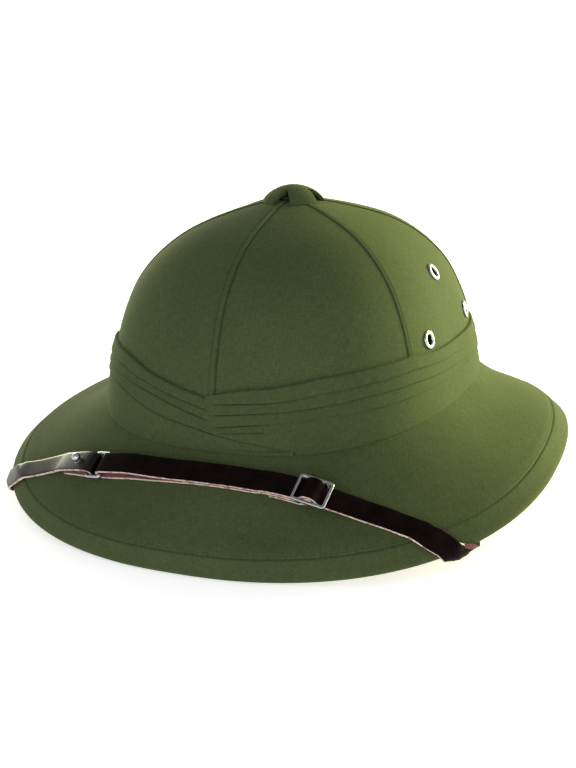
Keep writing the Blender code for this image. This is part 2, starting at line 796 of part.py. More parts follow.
def loop_ends(route):
    """Places along the route of the loop's left and right bars, and their height."""
    centre = route.length_at(LOOP_AZIMUTH)
    half = (LOOP_LENGTH - LOOP_WIRE) / 2
    return centre - half, centre + half, layer_height(0) + fold_radius()


def fold_radius():
    """Middle radius of a strap folded loosely round the loop's wire."""
    return LOOP_WIRE / 2 + GAP + LOOP_PLAY + STRAP_THICK / 2


def build_short_strap(collection, cutters, route):
    bar, _, bar_height = loop_ends(route)
    radius = fold_radius()
    tip = bar - FOLD_BACK
    start = route.lengths[0] + 1 * MM
    path = hidden_path(route, route.length_at(RIM_AZIMUTH_RIGHT), start)
    rise = [(tip - 10 * MM, layer_height(0)), (tip - 2 * MM, layer_height(1) + GAP)]
    rise.append((bar - 4 * MM, bar_height + radius))
    path += rise
    path += arc_path(bar - LOOP_PLAY / 2, bar_height, radius, 90, -90, 6)
    path += [(bar - 3 * MM, layer_height(0)), (tip, layer_height(0))]
    strap = ribbon("strap_short", collection, route, path)
    rivet = build_rivet("rivet_right", collection, route, start, 1)
    cut(strap, cylinder_cutter("rivet_cutter_short", cutters, RIVET_SHANK_RADIUS + GAP, -5 * MM, 5 * MM, rivet))
    stud_s = route.length_at(STUD_AZIMUTH)
    under_collar = np.interp(stud_s + STUD_COLLAR_RADIUS, *zip(*rise))
    top = under_collar + STRAP_THICK / 2 + GAP
    stud = route.place(stud_s, 0)
    build_stud(collection, stud, top)
    cut(strap, cylinder_cutter("stud_cutter", cutters, STUD_NECK_RADIUS + GAP, 0, top + STRAP_THICK, stud))
    return strap


def build_stud(collection, place, seat):
    """Ball on a collar, its neck through both layers of the strap."""
    neck_top = seat + STUD_COLLAR
    ball = neck_top + STUD_BALL_RADIUS * STUD_BALL_LIFT
    start = math.asin(STUD_NECK_RADIUS / STUD_BALL_RADIUS)
    profile = []
    for i in range(6):
        angle = (math.pi - start) * i / 5
        profile.append((STUD_BALL_RADIUS * math.sin(angle), ball + STUD_BALL_RADIUS * math.cos(angle)))
    profile += [(STUD_COLLAR_RADIUS, seat + STUD_COLLAR / 2), (STUD_COLLAR_RADIUS, seat)]
    profile += [(STUD_NECK_RADIUS, seat), (STUD_NECK_RADIUS, GAP), (0, GAP)]
    return turned("strap_stud", collection, profile, 10, place, colour=METAL_COLOUR, metallic=1.0, roughness=0.15)


def build_rivet(name, collection, route, end_s, direction):
    """Plain rivet near the strap's hidden end; returns its placement."""
    place = route.place(end_s + direction * RIVET_END, 0)
    head = STRAP_EDGE_GAP + STRAP_THICK + GAP
    profile = [
        (0, head + RIVET_HEAD),
        (RIVET_HEAD_RADIUS * 0.7, head + RIVET_HEAD),
        (RIVET_HEAD_RADIUS, head + RIVET_HEAD / 2),
        (RIVET_HEAD_RADIUS, head),
        (RIVET_SHANK_RADIUS, head),
        (RIVET_SHANK_RADIUS, -RIVET_BITE),
        (0, -RIVET_BITE),
    ]
    turned(name, collection, profile, 10, place, colour=METAL_COLOUR, metallic=1.0, roughness=0.4)
    return place


def rivet_hole(shell, cutters, name, place):
    depth = RIVET_BITE + GAP
    cut(shell, cylinder_cutter(name, cutters, RIVET_SHANK_RADIUS + GAP, -depth, 2 * MM, place))


def buckle_layout(route):
    """Centre of the buckle along the route, offset of its end bars, frame height and pin height."""
    centre = route.length_at(BUCKLE_AZIMUTH)
    bar = (BUCKLE_LENGTH - BUCKLE_BAR_WIDTH) / 2
    frame = layer_height(2) + STRAP_THICK / 2 + GAP + BUCKLE_BAR_THICK / 2
    return centre, bar, frame, frame - BUCKLE_PIN_DROP


def over_pin(centre, pin_height, radius, level, side):
    """Points of a strap layer from the arc over the pin down to a level on one side, arc first."""
    turn = math.radians(BUCKLE_PIN_SLOPE)
    high = (centre + side * radius * math.sin(turn), pin_height + radius * math.cos(turn))
    run = (high[1] - level) / math.tan(turn)
    return [high, (high[0] + side * run, level)]


def build_long_strap(collection, cutters, route):
    centre, bar, _, pin = buckle_layout(route)
    _, loop_bar, loop_height = loop_ends(route)
    loop_radius = fold_radius()
    inner = BUCKLE_PIN_RADIUS + 2 * GAP + STRAP_THICK / 2
    outer = inner + STRAP_THICK + GAP
    low, mid, high = layer_height(0), layer_height(1), layer_height(2)
    slope = BUCKLE_PIN_SLOPE
    left, right = centre - bar, centre + bar
    tail = left - TAIL_LENGTH
    bow = loop_height + loop_radius + GAP
    start = route.lengths[-1] - 1 * MM
    path = hidden_path(route, route.length_at(RIM_AZIMUTH_LEFT), start)
    path += spaced(path[-1][0] - 8 * MM, right + 16 * MM, low, 12 * MM)
    path += [(right + 8 * MM, (low + high) / 2), (right + 2 * MM, high), (right - 1.5 * MM, high)]
    path += over_pin(centre, pin, outer, high, 1)[::-1]
    path += arc_path(centre, pin, outer, 90 - slope, 90 + slope, 4)[1:-1]
    path += over_pin(centre, pin, outer, high, -1)
    path += [(left, high), (tail - 2 * MM, high)]
    settle = tail - 8 * MM
    near, middle, far = (loop_bar + step for step in BOW_STEPS)
    path += [(settle, mid), (far, mid), (middle, (mid + bow) / 2), (near, bow)]
    path += arc_path(loop_bar + LOOP_PLAY / 2, loop_height, loop_radius, 90, 270, 6)
    path += [(loop_bar + 4 * MM, low)] + spaced(loop_bar + 14 * MM, settle, low, 14 * MM)
    path += [(tail - 2 * MM, mid), (left, mid)]
    path += over_pin(centre, pin, inner, mid, -1)[::-1]
    path += arc_path(centre, pin, inner, 90 + slope, -90, 7)[1:]
    path += [(centre - 4.5 * MM, low), (left, low), (tail, low)]
    strap = ribbon("strap_long", collection, route, path)
    rivet = build_rivet("rivet_left", collection, route, start, -1)
    cut(strap, cylinder_cutter("rivet_cutter_long", cutters, RIVET_SHANK_RADIUS + GAP, -5 * MM, 5 * MM, rivet))
    return strap


def build_loop(collection, route):
    """Rectangular wire loop as a closed curve with rounded corners."""
    left, right, height = loop_ends(route)
    half_width = STRAP_WIDTH / 2 + LOOP_SIDE_ROOM + LOOP_WIRE / 2
    half_length = (right - left) / 2
    corner = LOOP_WIRE * 0.6
    points = []
    for quarter, (sx, sy) in enumerate(((1, 1), (-1, 1), (-1, -1), (1, -1))):
        for i in range(3):
            angle = math.pi / 2 * (quarter + i / 2)
            points.append((
                sx * (half_length - corner) + corner * math.cos(angle),
                sy * (half_width - corner) + corner * math.sin(angle),
                0,
            ))
    curve = bpy.data.curves.new("strap_loop", "CURVE")
    curve.dimensions = "3D"
    curve.bevel_depth = LOOP_WIRE / 2
    curve.bevel_resolution = 2
    spline = curve.splines.new("POLY")
    spline.points.add(len(points) - 1)
    for target, point in zip(spline.points, points):
        target.co = (*point, 1)
    spline.use_cyclic_u = True
    loop = new_object("strap_loop", curve, collection, colour=METAL_COLOUR, metallic=1.0, roughness=0.2)
    loop.matrix_world = route.place((left + right) / 2, height)
    return loop


def build_buckle(collection, cutters, route):
    """Flat rectangular frame with a lower centre pin joined into it."""
    centre, _, frame, pin = buckle_layout(route)
    half_width = STRAP_WIDTH / 2 + GAP
    inner = (BUCKLE_LENGTH / 2 - BUCKLE_BAR_WIDTH, half_width)
    outer = (BUCKLE_LENGTH / 2, half_width + BUCKLE_BAR_WIDTH)
    fronts, backs = [], []
    for sx, sy in ((1, 1), (-1, 1), (-1, -1), (1, -1)):
        for rows, (x, y) in ((fronts, outer), (backs, inner)):
            rows.append([(sx * x, sy * y, side * BUCKLE_BAR_THICK / 2) for side in (1, -1)])
    buckle = wall("strap_buckle", collection, fronts, backs, True, colour=METAL_COLOUR, metallic=1.0, roughness=0.2)
    buckle.matrix_world = route.place(centre, frame)
    turn = Matrix.Rotation(math.pi / 2, 4, "X")
    place = route.place(centre, pin) @ turn
    reach = half_width + BUCKLE_BAR_WIDTH / 2
    rod = cylinder_cutter("buckle_pin", cutters, BUCKLE_PIN_RADIUS, -reach, reach, place)
    cut(buckle, rod, "UNION")
    return buckle


def build():
    for old in list(bpy.data.objects):
        bpy.data.objects.remove(old, do_unlink=True)
    helmet = bpy.data.collections.new("pith_helmet")
    cutters = bpy.data.collections.new("cutters")
    for collection in (helmet, cutters):
        bpy.context.scene.collection.children.link(collection)
    shell = build_shell(helmet)
    gores = build_gores(helmet)
    build_brim_cover(helmet)
    build_brim_binding(helmet)
    build_bands(helmet)
    build_button(helmet, cutters)
    build_eyelets(helmet, cutters, shell, gores)
    route = StrapRoute()
    build_short_strap(helmet, cutters, route)
    build_long_strap(helmet, cutters, route)
    build_loop(helmet, route)
    build_buckle(helmet, cutters, route)
    for side in ("left", "right"):
        place = bpy.data.objects[f"rivet_{side}"].matrix_world
        rivet_hole(shell, cutters, f"rivet_seat_{side}", place)


build()
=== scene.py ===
"""Finish of the cloth-covered pith helmet: sewn cloth, pleated band, leather strap and metal fittings."""

import math

import bmesh
import bpy
import numpy as np
from mathutils import Matrix, Vector, noise


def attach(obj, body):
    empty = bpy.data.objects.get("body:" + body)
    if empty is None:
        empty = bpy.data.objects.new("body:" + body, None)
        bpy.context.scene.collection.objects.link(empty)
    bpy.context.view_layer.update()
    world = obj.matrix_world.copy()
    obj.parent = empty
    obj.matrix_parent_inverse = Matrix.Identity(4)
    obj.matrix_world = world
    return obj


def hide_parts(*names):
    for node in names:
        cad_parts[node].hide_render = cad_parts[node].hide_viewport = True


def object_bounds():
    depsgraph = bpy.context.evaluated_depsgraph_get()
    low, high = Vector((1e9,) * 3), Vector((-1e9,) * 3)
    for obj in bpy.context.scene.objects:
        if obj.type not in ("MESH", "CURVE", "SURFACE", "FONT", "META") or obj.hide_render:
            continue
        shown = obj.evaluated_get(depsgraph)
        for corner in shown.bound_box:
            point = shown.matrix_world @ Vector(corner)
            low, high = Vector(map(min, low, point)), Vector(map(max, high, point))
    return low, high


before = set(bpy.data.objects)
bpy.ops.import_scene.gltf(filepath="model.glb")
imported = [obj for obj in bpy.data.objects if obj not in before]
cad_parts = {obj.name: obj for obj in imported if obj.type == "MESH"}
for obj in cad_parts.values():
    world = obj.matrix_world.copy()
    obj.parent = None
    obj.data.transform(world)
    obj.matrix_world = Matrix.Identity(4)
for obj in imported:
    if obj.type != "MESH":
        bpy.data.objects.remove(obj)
cad_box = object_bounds()

MM = 0.001
GAP = 0.3 * MM

# Rim of the brim
RIM_LENGTH = 321.6 * MM
RIM_WIDTH = 295.4 * MM
RIM_WAIST_FORWARD = 24.3 * MM
RIM_SQUARENESS = 2.18
RIM_EGG = -0.0073
RIM_SIDE_RISE = 23.3 * MM
RIM_REAR_LEAN = 14.3 * MM
RIM_FLAT = math.radians(8.25)

# Turned-down edge of the brim
LIP_WIDTH = 11.8 * MM
LIP_SIDE_SLOPE = math.radians(43)
LIP_END_SLOPE = math.radians(90)
LIP_CHAMFER = 1.2 * MM
EDGE_THICK = 4.3 * MM

# Crown
CROWN_LENGTH = 215.0 * MM
CROWN_WIDTH = 184.4 * MM
CROWN_CENTRE_FORWARD = 8.2 * MM
CROWN_SQUARENESS = 2.5
CROWN_BASE_HEIGHT = 51.8 * MM
CROWN_FRONT_DIP = 2.8 * MM
CROWN_END_DIP = 2.6 * MM
CROWN_TOP_HEIGHT = 151.3 * MM
CROWN_TOP_LEAN = 1.3 * MM
# height share, radius share
CROWN_PROFILE = [
    (0.000, 1.000), (0.220, 0.968), (0.450, 0.908), (0.680, 0.780),
    (0.860, 0.550), (0.965, 0.249), (1.000, 0.000),
]
VENT_RADIUS = 6.0 * MM
# dip of the brim's surface beside and behind the crown
BRIM_HOLLOW = 3.5 * MM
SEAMS = [math.radians(angle) for angle in (-180, -114, -66, 0, 66, 114, 180)]
GORES = ["back_right", "side_right", "front_right", "front_left", "side_left", "back_left"]

# Walls
CLOTH = 1.0 * MM
SHELL_WALL = 3.0 * MM
SHELL_EDGE_WALL = 1.4 * MM

# Band
# azimuth in degrees, heights in mm of the top edge and the three lower fold lines
FOLDS_LEFT = [
    (-8, 69.5, 66.5, 63.2, 60.0), (-5, 70.0, 67.0, 63.0, 58.2), (-2, 71.0, 67.8, 63.0, 56.6),
    (1, 73.6, 68.6, 63.6, 57.7), (6, 75.9, 69.6, 64.8, 59.4), (15, 77.7, 70.9, 66.4, 61.3),
    (30, 81.9, 74.9, 68.9, 64.2), (46, 83.2, 77.0, 71.4, 65.0), (65, 84.6, 78.0, 71.9, 66.0),
    (76, 82.2, 76.6, 71.0, 66.3), (100, 80.9, 74.3, 68.9, 66.2), (180, 80.1, 74.2, 69.4, 64.6),
]
FOLDS_RIGHT = [
    (-180, 80.1, 74.2, 69.4, 64.6), (-100, 80.9, 75.0, 70.4, 66.2), (-76, 82.2, 77.2, 72.2, 68.2),
    (-65, 84.8, 78.3, 73.4, 69.6), (-48, 85.6, 78.6, 74.1, 69.6), (-34, 84.2, 78.2, 73.5, 68.1),
    (-26, 81.6, 75.7, 71.7, 65.0), (-20, 78.9, 74.1, 70.1, 62.3), (-14, 76.6, 71.6, 68.0, 59.8),
    (-8, 74.1, 68.9, 65.0, 58.0), (-3, 71.9, 66.7, 62.2, 56.1), (1, 69.3, 64.2, 59.8, 53.6),
    (6, 67.0, 61.5, 57.0, 51.6), (15, 64.0, 58.5, 54.0, 49.4), (22, 61.0, 56.0, 51.0, 46.8),
    (26, 60.0, 55.0, 50.5, 46.2),
]
# second crease of the left half below its lowest pleat
CREASE = [(-2, 54.2), (1.5, 54.8), (7.7, 56.2), (15, 57.3), (22, 58.2)]
BAND_THICK = 2.2 * MM

# Eyelets: name, azimuth in degrees, height share of the crown
EYELETS = [("front", 76.4, 0.356), ("top", 91.2, 0.625), ("back", 104.4, 0.356)]
EYELET_RADIUS = 4.8 * MM
EYELET_FLANGE = 0.8 * MM
EYELET_BARREL_RADIUS = 3.2 * MM
EYELET_HOLE_RADIUS = 2.6 * MM

# Top button
BUTTON_RADIUS = 16.5 * MM
BUTTON_RISE = 9.4 * MM
BUTTON_WALL = 1.6 * MM
BUTTON_LIFT = 1.7 * MM
NOTCH_DEPTH = 8.5 * MM
NOTCH_WIDTH = 11.0 * MM

# Chin strap
STRAP_WIDTH = 11.0 * MM
STRAP_THICK = 1.5 * MM
STRAP_REST = 0.5 * MM
STRAP_EDGE_GAP = 1.5 * MM
STRAP_TURN = 20.0 * MM
HEADING_STEP = 6.0 * MM
EDGE_BULGE = 1.8
# azimuth in degrees, place: 0 crown base, 1 stitch line, 2 rim outside, 3 rim inside, then underneath
# 4 stitch line, 5 crown base
STRAP_ROUTE = [
    (-80.0, 4.72), (-71.0, 4.35), (-62.0, 3.4), (-57.0, 2.4), (-52.0, 1.278),
    (-42.3, 0.69), (-35.6, 0.565), (-28.4, 0.477), (-20.0, 0.385), (-13.6, 0.33),
    (-0.7, 0.275), (10.0, 0.296), (20.6, 0.391), (29.0, 0.535), (35.0, 0.635),
    (41.4, 0.803), (48.6, 1.42), (52.3, 2.4), (58.0, 3.4), (68.0, 4.35),
    (78.0, 4.72),
]
RIM_AZIMUTH_RIGHT = math.radians(-57.0)
RIM_AZIMUTH_LEFT = math.radians(52.3)
LOOP_AZIMUTH = math.radians(-25.9)
LOOP_LENGTH = 10.0 * MM
LOOP_WIRE = 1.8 * MM
LOOP_PLAY = 0.5 * MM
LOOP_SIDE_ROOM = 0.6 * MM
BOW_STEPS = (14.0 * MM, 28.0 * MM, 44.0 * MM)
BUCKLE_AZIMUTH = math.radians(25.0)
BUCKLE_LENGTH = 17.0 * MM
BUCKLE_BAR = 1.5 * MM
BUCKLE_THICK = 1.6 * MM
PIN_RADIUS = 0.6 * MM
PIN_DROP = 1.0 * MM
PIN_SLOPE = 46
TAIL_LENGTH = 12.0 * MM
STUD_AZIMUTH = math.radians(-31.6)
STUD_BALL = 2.3 * MM
STUD_NECK = 1.2 * MM
STUD_COLLAR_RADIUS = 2.2 * MM
STUD_COLLAR = 0.3 * MM
STUD_LIFT = 0.75
FOLD_BACK = 19.0 * MM
RIVET_HEAD_RADIUS = 3.2 * MM
RIVET_HEAD = 1.0 * MM
RIVET_SHANK = 1.6 * MM
RIVET_END = 7.0 * MM


def unit(vector):
    return vector / np.linalg.norm(vector)


def running_length(line):
    """Distance along a line of points, from 0 at its start."""
    return np.concatenate([[0], np.cumsum(np.linalg.norm(np.diff(line, axis=0), axis=1))])


def signed_power(value, exponent):
    return math.copysign(abs(value) ** exponent, value)


def smooth(low, high, value):
    """Smooth step from 0 at low to 1 at high."""
    t = min(max((value - low) / (high - low), 0.0), 1.0)
    return t * t * (3 - 2 * t)


def end_share(phi):
    return min(1.0, math.cos(phi) ** 2 / math.cos(RIM_FLAT) ** 2)


def rim_point(phi):
    c, s = math.cos(phi), math.sin(phi)
    egg = 1 + RIM_EGG * (math.cos(3 * phi) - c)
    half = RIM_LENGTH / 2 + (-RIM_WAIST_FORWARD if c > 0 else RIM_WAIST_FORWARD)
    x = RIM_WIDTH / 2 * signed_power(s, 2 / RIM_SQUARENESS) * egg
    y = -RIM_WAIST_FORWARD - half * signed_power(c, 2 / RIM_SQUARENESS) * egg
    return np.array([x, y, (1 - end_share(phi)) * (RIM_SIDE_RISE - RIM_REAR_LEAN * c)])


def crown_base(phi):
    c, s = math.cos(phi), math.sin(phi)
    x = CROWN_WIDTH / 2 * signed_power(s, 2 / CROWN_SQUARENESS)
    y = -CROWN_CENTRE_FORWARD - CROWN_LENGTH / 2 * signed_power(c, 2 / CROWN_SQUARENESS)
    return np.array([x, y, CROWN_BASE_HEIGHT - CROWN_FRONT_DIP * c - CROWN_END_DIP * math.cos(2 * phi)])


def stitch_point(phi):
    rim, base = rim_point(phi), crown_base(phi)
    inward = unit((base - rim) * (1, 1, 0))
    ends = end_share(phi) ** (1 if math.cos(phi) > 0 else 2)
    slope = LIP_SIDE_SLOPE + (LIP_END_SLOPE - LIP_SIDE_SLOPE) * ends
    return rim + LIP_WIDTH * (math.cos(slope) * inward + math.sin(slope) * np.array([0, 0, 1.0]))


PROFILE_HEIGHTS = np.array([row[0] for row in CROWN_PROFILE])
PROFILE_AREAS = np.array([row[1] ** 2 for row in CROWN_PROFILE])
PROFILE_SLOPES = np.gradient(PROFILE_AREAS, PROFILE_HEIGHTS)


def crown_radius_share(height):
    i = int(np.clip(np.searchsorted(PROFILE_HEIGHTS, height, "right") - 1, 0, len(CROWN_PROFILE) - 2))
    step = PROFILE_HEIGHTS[i + 1] - PROFILE_HEIGHTS[i]
    t = (height - PROFILE_HEIGHTS[i]) / step
    area = (
        PROFILE_AREAS[i] * (2 * t**3 - 3 * t**2 + 1)
        + PROFILE_SLOPES[i] * step * (t**3 - 2 * t**2 + t)
        + PROFILE_AREAS[i + 1] * (3 * t**2 - 2 * t**3)
        + PROFILE_SLOPES[i + 1] * step * (t**3 - t**2)
    )
    return math.sqrt(max(area, 0.0))


def surface(phi, u):
    """Outer cloth surface: u runs 0 to 1 down the crown, to 2 over the brim, to 3 down its turned edge."""
    if u <= 1:
        base = crown_base(phi)
        height = math.sin((1 - u) * math.pi / 2)
        share = crown_radius_share(height)
        centre = -CROWN_CENTRE_FORWARD
        y = centre - CROWN_TOP_LEAN * height + (base[1] - centre) * share
        return np.array([base[0] * share, y, base[2] + (CROWN_TOP_HEIGHT - base[2]) * height])
    if u <= 2:
        hollow = BRIM_HOLLOW * smooth(0.3, 1.3, 1 - math.cos(phi)) * 6.75 * (u - 1) * (2 - u) ** 2
        return crown_base(phi) * (2 - u) + stitch_point(phi) * (u - 1) - np.array([0, 0, hollow])
    return stitch_point(phi) * (3 - u) + rim_point(phi) * (u - 2)


def surface_normal(phi, u, side):
    du, dphi = 0.004, 0.01
    along = surface(phi, u + du * side) - surface(phi, u)
    mid = u + du * side / 2
    around = surface(phi + dphi, mid) - surface(phi - dphi, mid)
    return unit(np.cross(along * side, around))


def skin(phi, u, depth):
    """Point at a depth below the outer surface, mitred where crown, brim and edge meet."""
    point = surface(phi, u)
    if u <= 0.01 or u >= 2.99:
        return point - depth * surface_normal(phi, u, 1 if u < 1 else -1)
    above, below = surface_normal(phi, u, -1), surface_normal(phi, u, 1)
    return point - depth * (above + below) / (1 + float(above @ below))


def vent_step(phi):
    low, high = 0.0, 0.5
    for _ in range(30):
        mid = (low + high) / 2
        point = surface(phi, mid)
        reach = math.hypot(point[0], point[1] + CROWN_CENTRE_FORWARD + CROWN_TOP_LEAN)
        low, high = (mid, high) if reach < VENT_RADIUS else (low, mid)
    return high


def crown_step_at(phi, z):
    base = crown_base(phi)[2]
    return 1 - math.asin(min(max((z - base) / (CROWN_TOP_HEIGHT - base), 0), 1)) / (math.pi / 2)


def table_at(table, value, column=1):
    return float(np.interp(value, [row[0] for row in table], [row[column] for row in table]))


def ripple(point, scale, amount):
    """Slow unevenness of hand-laid cloth."""
    return amount * noise.noise(Vector(point) / scale)


# Materials


class Nodes:
    """Short names for building one material."""

    def __init__(self, name):
        self.material = bpy.data.materials.new(name)
        self.material.use_nodes = True
        self.tree = self.material.node_tree
        self.place = self.add("ShaderNodeTexCoord").outputs["Object"]

    def add(self, kind, **values):
        node = self.tree.nodes.new(kind)
        for key, value in values.items():
            if key in node.bl_rna.properties:
                setattr(node, key, value)
            else:
                self.put(node.inputs[key], value)
        return node

    def put(self, socket, value):
        """Link an output to the socket, or set the socket's own value."""
        if isinstance(value, bpy.types.NodeSocket):
            self.tree.links.new(value, socket)
        elif socket.type == "RGBA" and len(value) == 3:
            socket.default_value = (*value, 1)
        else:
            socket.default_value = value

    def maths(self, operation, a, b):
        node = self.add("ShaderNodeMath", operation=operation)
        self.put(node.inputs[0], a)
        self.put(node.inputs[1], b)
        return node.outputs[0]

    def mapped(self, source, scale, turn=0.0):
        return self.add("ShaderNodeMapping", Vector=source, Scale=scale, Rotation=(0, 0, turn)).outputs[0]

    def noise(self, source, scale, detail, roughness=0.5):
        node = self.add("ShaderNodeTexNoise", Vector=source, Scale=scale, Detail=detail, Roughness=roughness)
        return node.outputs["Fac"]

    def ramp(self, value, *stops):
        node = self.add("ShaderNodeValToRGB")
        self.put(node.inputs[0], value)
        elements = node.color_ramp.elements
        while len(elements) < len(stops):
            elements.new(0.5)
        for element, (place, colour) in zip(elements, stops):
            element.position = place
            element.color = (*colour, 1)
        return node.outputs[0]

    def product(self, a, b):
        """Two colours multiplied."""
        node = self.add("ShaderNodeMix", data_type="RGBA", blend_type="MULTIPLY")
        for place, value in ((MIX_FACTOR, 1.0), (MIX_A, a), (MIX_B, b)):
            self.put(node.inputs[place], value)
        return node.outputs[MIX_RESULT]

    def bump(self, height, distance, strength, under=None):
        node = self.add("ShaderNodeBump", Height=height, Distance=distance, Strength=strength)
        if under is not None:
            self.put(node.inputs["Normal"], under)
        return node.outputs[0]

    def finish(self, colour, roughness, normal=None, **fixed):
        inputs = self.tree.nodes["Principled BSDF"].inputs
        self.put(inputs["Base Color"], colour)
        self.put(inputs["Roughness"], roughness)
        if normal is not None:
            self.put(inputs["Normal"], normal)
        for name, value in fixed.items():
            self.put(inputs[name.replace("_", " ")], value)
        return self.material


# Sockets of the mix node, which has one set for each data type
MIX_FACTOR, MIX_A, MIX_B, MIX_RESULT = 0, 6, 7, 2


CLOTH_DARK = (0.036, 0.051, 0.018)
CLOTH_MID = (0.049, 0.067, 0.026)
CLOTH_LIGHT = (0.064, 0.085, 0.036)
THREAD = 0.42 * MM


def cloth_material(name, turn=0.0, shade=1.0):
    """Cotton drill: warp and weft threads along the piece's own cloth coordinates, in metres."""
    n = Nodes(name)
    cloth = n.mapped(n.add("ShaderNodeUVMap", uv_map="cloth").outputs[0], (1, 1, 1), turn)
    warp = n.noise(n.mapped(cloth, (1 / THREAD, 0.11 / THREAD, 1)), 1.0, 1.0)
    weft = n.noise(n.mapped(cloth, (0.09 / THREAD, 1 / THREAD, 1)), 1.0, 1.0)
    twill = n.add("ShaderNodeTexWave", Vector=cloth, bands_direction="DIAGONAL", Scale=0.36 / THREAD)
    threads = n.maths("ADD", n.maths("MULTIPLY", warp, 0.55), n.maths("MULTIPLY", weft, 0.45))
    height = n.maths("ADD", threads, n.maths("MULTIPLY", twill.outputs["Fac"], 0.12))
    cloud = n.noise(n.place, 22.0, 3.0)
    colour = n.ramp(threads, (0.34, CLOTH_DARK), (0.52, CLOTH_MID), (0.70, CLOTH_LIGHT))
    tone = n.ramp(cloud, (0.30, (0.90 * shade,) * 3), (0.72, (1.07 * shade,) * 3))
    fine = n.bump(height, 0.18 * MM, 0.6)
    soft = n.noise(n.place, 90.0, 3.0)
    return n.finish(
        n.product(colour, tone), 0.88, n.bump(soft, 0.30 * MM, 0.4, fine),
        Sheen_Weight=0.10, Sheen_Roughness=0.5, Sheen_Tint=(0.62, 0.74, 0.30, 1), Specular_IOR_Level=0.12,
    )


def leather_material(name, gloss):
    n = Nodes(name)
    grain = n.add("ShaderNodeTexVoronoi", feature="SMOOTH_F1", Vector=n.place, Scale=1400.0)
    wear = n.noise(n.place, 130.0, 4.0, 0.6)
    colour = n.ramp(wear, (0.35, (0.0030, 0.0015, 0.0012)), (0.75, (0.0070, 0.0035, 0.0028)))
    rough = n.maths("ADD", n.maths("MULTIPLY", wear, 0.22), 0.20)
    pores = n.bump(grain.outputs["Distance"], 0.05 * MM, 0.35)
    return n.finish(colour, rough, pores, Specular_IOR_Level=gloss)


def raw_edge_material():
    n = Nodes("strap_raw_edge")
    fibre = n.noise(n.place, 1500.0, 4.0, 0.7)
    blotch = n.noise(n.place, 420.0, 3.0, 0.6)
    colour = n.ramp(fibre, (0.30, (0.34, 0.20, 0.17)), (0.46, (0.66, 0.50, 0.46)), (0.70, (0.86, 0.74, 0.69)))
    dirt = n.ramp(blotch, (0.36, (0.42, 0.34, 0.32)), (0.50, (1.0, 1.0, 1.0)))
    return n.finish(n.product(colour, dirt), 0.9, n.bump(fibre, 0.5 * MM, 0.8))


def suede_material():
    n = Nodes("strap_suede")
    fibre = n.noise(n.place, 1100.0, 4.0, 0.7)
    stops = (0.32, (0.045, 0.009, 0.008)), (0.52, (0.13, 0.022, 0.019)), (0.74, (0.26, 0.07, 0.055))
    colour = n.ramp(fibre, *stops)
    return n.finish(colour, 0.95, n.bump(fibre, 0.6 * MM, 0.9), Sheen_Weight=0.2, Sheen_Roughness=0.6)


def metal_material(name, colour, roughness):
    n = Nodes(name)
    smear = n.noise(n.place, 320.0, 4.0, 0.6)
    scratch = n.noise(n.mapped(n.place, (400, 2600, 900)), 1.0, 2.0)
    tone = n.ramp(smear, (0.30, tuple(0.80 * c for c in colour)), (0.70, colour))
    rough = n.maths("ADD", n.maths("MULTIPLY", smear, 0.16), roughness)
    return n.finish(tone, rough, n.bump(scratch, 0.02 * MM, 0.4), Metallic=1.0)


def board_material():
    """Pale moulded pith board with short fibres."""
    n = Nodes("pith_board")
    cells = n.add("ShaderNodeTexVoronoi", Vector=n.place, Scale=260.0)
    fibre = n.noise(n.mapped(n.place, (160, 620, 400)), 1.0, 4.0, 0.6)
    patch = n.noise(n.place, 30.0, 4.0, 0.6)
    colour = n.ramp(fibre, (0.30, (0.40, 0.33, 0.22)), (0.70, (0.62, 0.55, 0.42)))
    tone = n.ramp(patch, (0.32, (0.82, 0.80, 0.76)), (0.70, (1.04, 1.03, 1.0)))
    fine = n.bump(cells.outputs["Distance"], 0.4 * MM, 0.4)
    return n.finish(n.product(colour, tone), 0.92, n.bump(fibre, 0.3 * MM, 0.6, fine))


CLOTH_STRAIGHT = cloth_material("drill_straight")
CLOTH_BIAS = cloth_material("drill_bias", math.radians(45))
CLOTH_BAND = cloth_material("drill_band", 0.0, 0.98)
# cloth at a quarter of its brightness: painted shade for the seat under the top button
CLOTH_PAINTED_SHADE = cloth_material("drill_painted_shade", 0.0, 0.25)
LEATHER = leather_material("strap_leather", 0.035)
WORN_LEATHER = leather_material("strap_leather_worn", 0.24)
RAW_EDGE = raw_edge_material()
SUEDE = suede_material()
BRIGHT = metal_material("bright_nickel", (0.52, 0.53, 0.56), 0.14)
# near-black metal for the wall inside the eyelets' holes: painted shade in the bore
BORE_PAINTED_SHADE = metal_material("bore_painted_shade", (0.030, 0.030, 0.030), 0.55)
STEEL = metal_material("plain_steel", (0.52, 0.52, 0.52), 0.32)
BOARD = board_material()
THREADS = Nodes("sewing_thread").finish((0.018, 0.026, 0.009), 0.8)


# Meshes


def make_piece(name, points, faces, coordinates, materials, slots, nodes, sharp=40):
    """Mesh that rides on the frame and stands for the named nodes, with a material slot for each face."""
    mesh = bpy.data.meshes.new(name)
    mesh.from_pydata([tuple(p) for p in points], [], faces)
    if coordinates is not None:
        layer = mesh.uv_layers.new(name="cloth")
        layer.data.foreach_set("uv", np.array(coordinates, np.float32).ravel())
    for material in materials:
        mesh.materials.append(material)
    if slots is not None:
        mesh.polygons.foreach_set("material_index", slots)
    bm = bmesh.new()
    bm.from_mesh(mesh)
    bmesh.ops.remove_doubles(bm, verts=bm.verts, dist=0.002 * MM)
    bmesh.ops.recalc_face_normals(bm, faces=bm.faces)
    bm.to_mesh(mesh)
    bm.free()
    mesh.shade_smooth()
    mesh.set_sharp_from_angle(angle=math.radians(sharp))
    piece = bpy.data.objects.new(name, mesh)
    bpy.context.scene.collection.objects.link(piece)
    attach(piece, "root")
    if nodes:
        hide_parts(*nodes)
    return piece


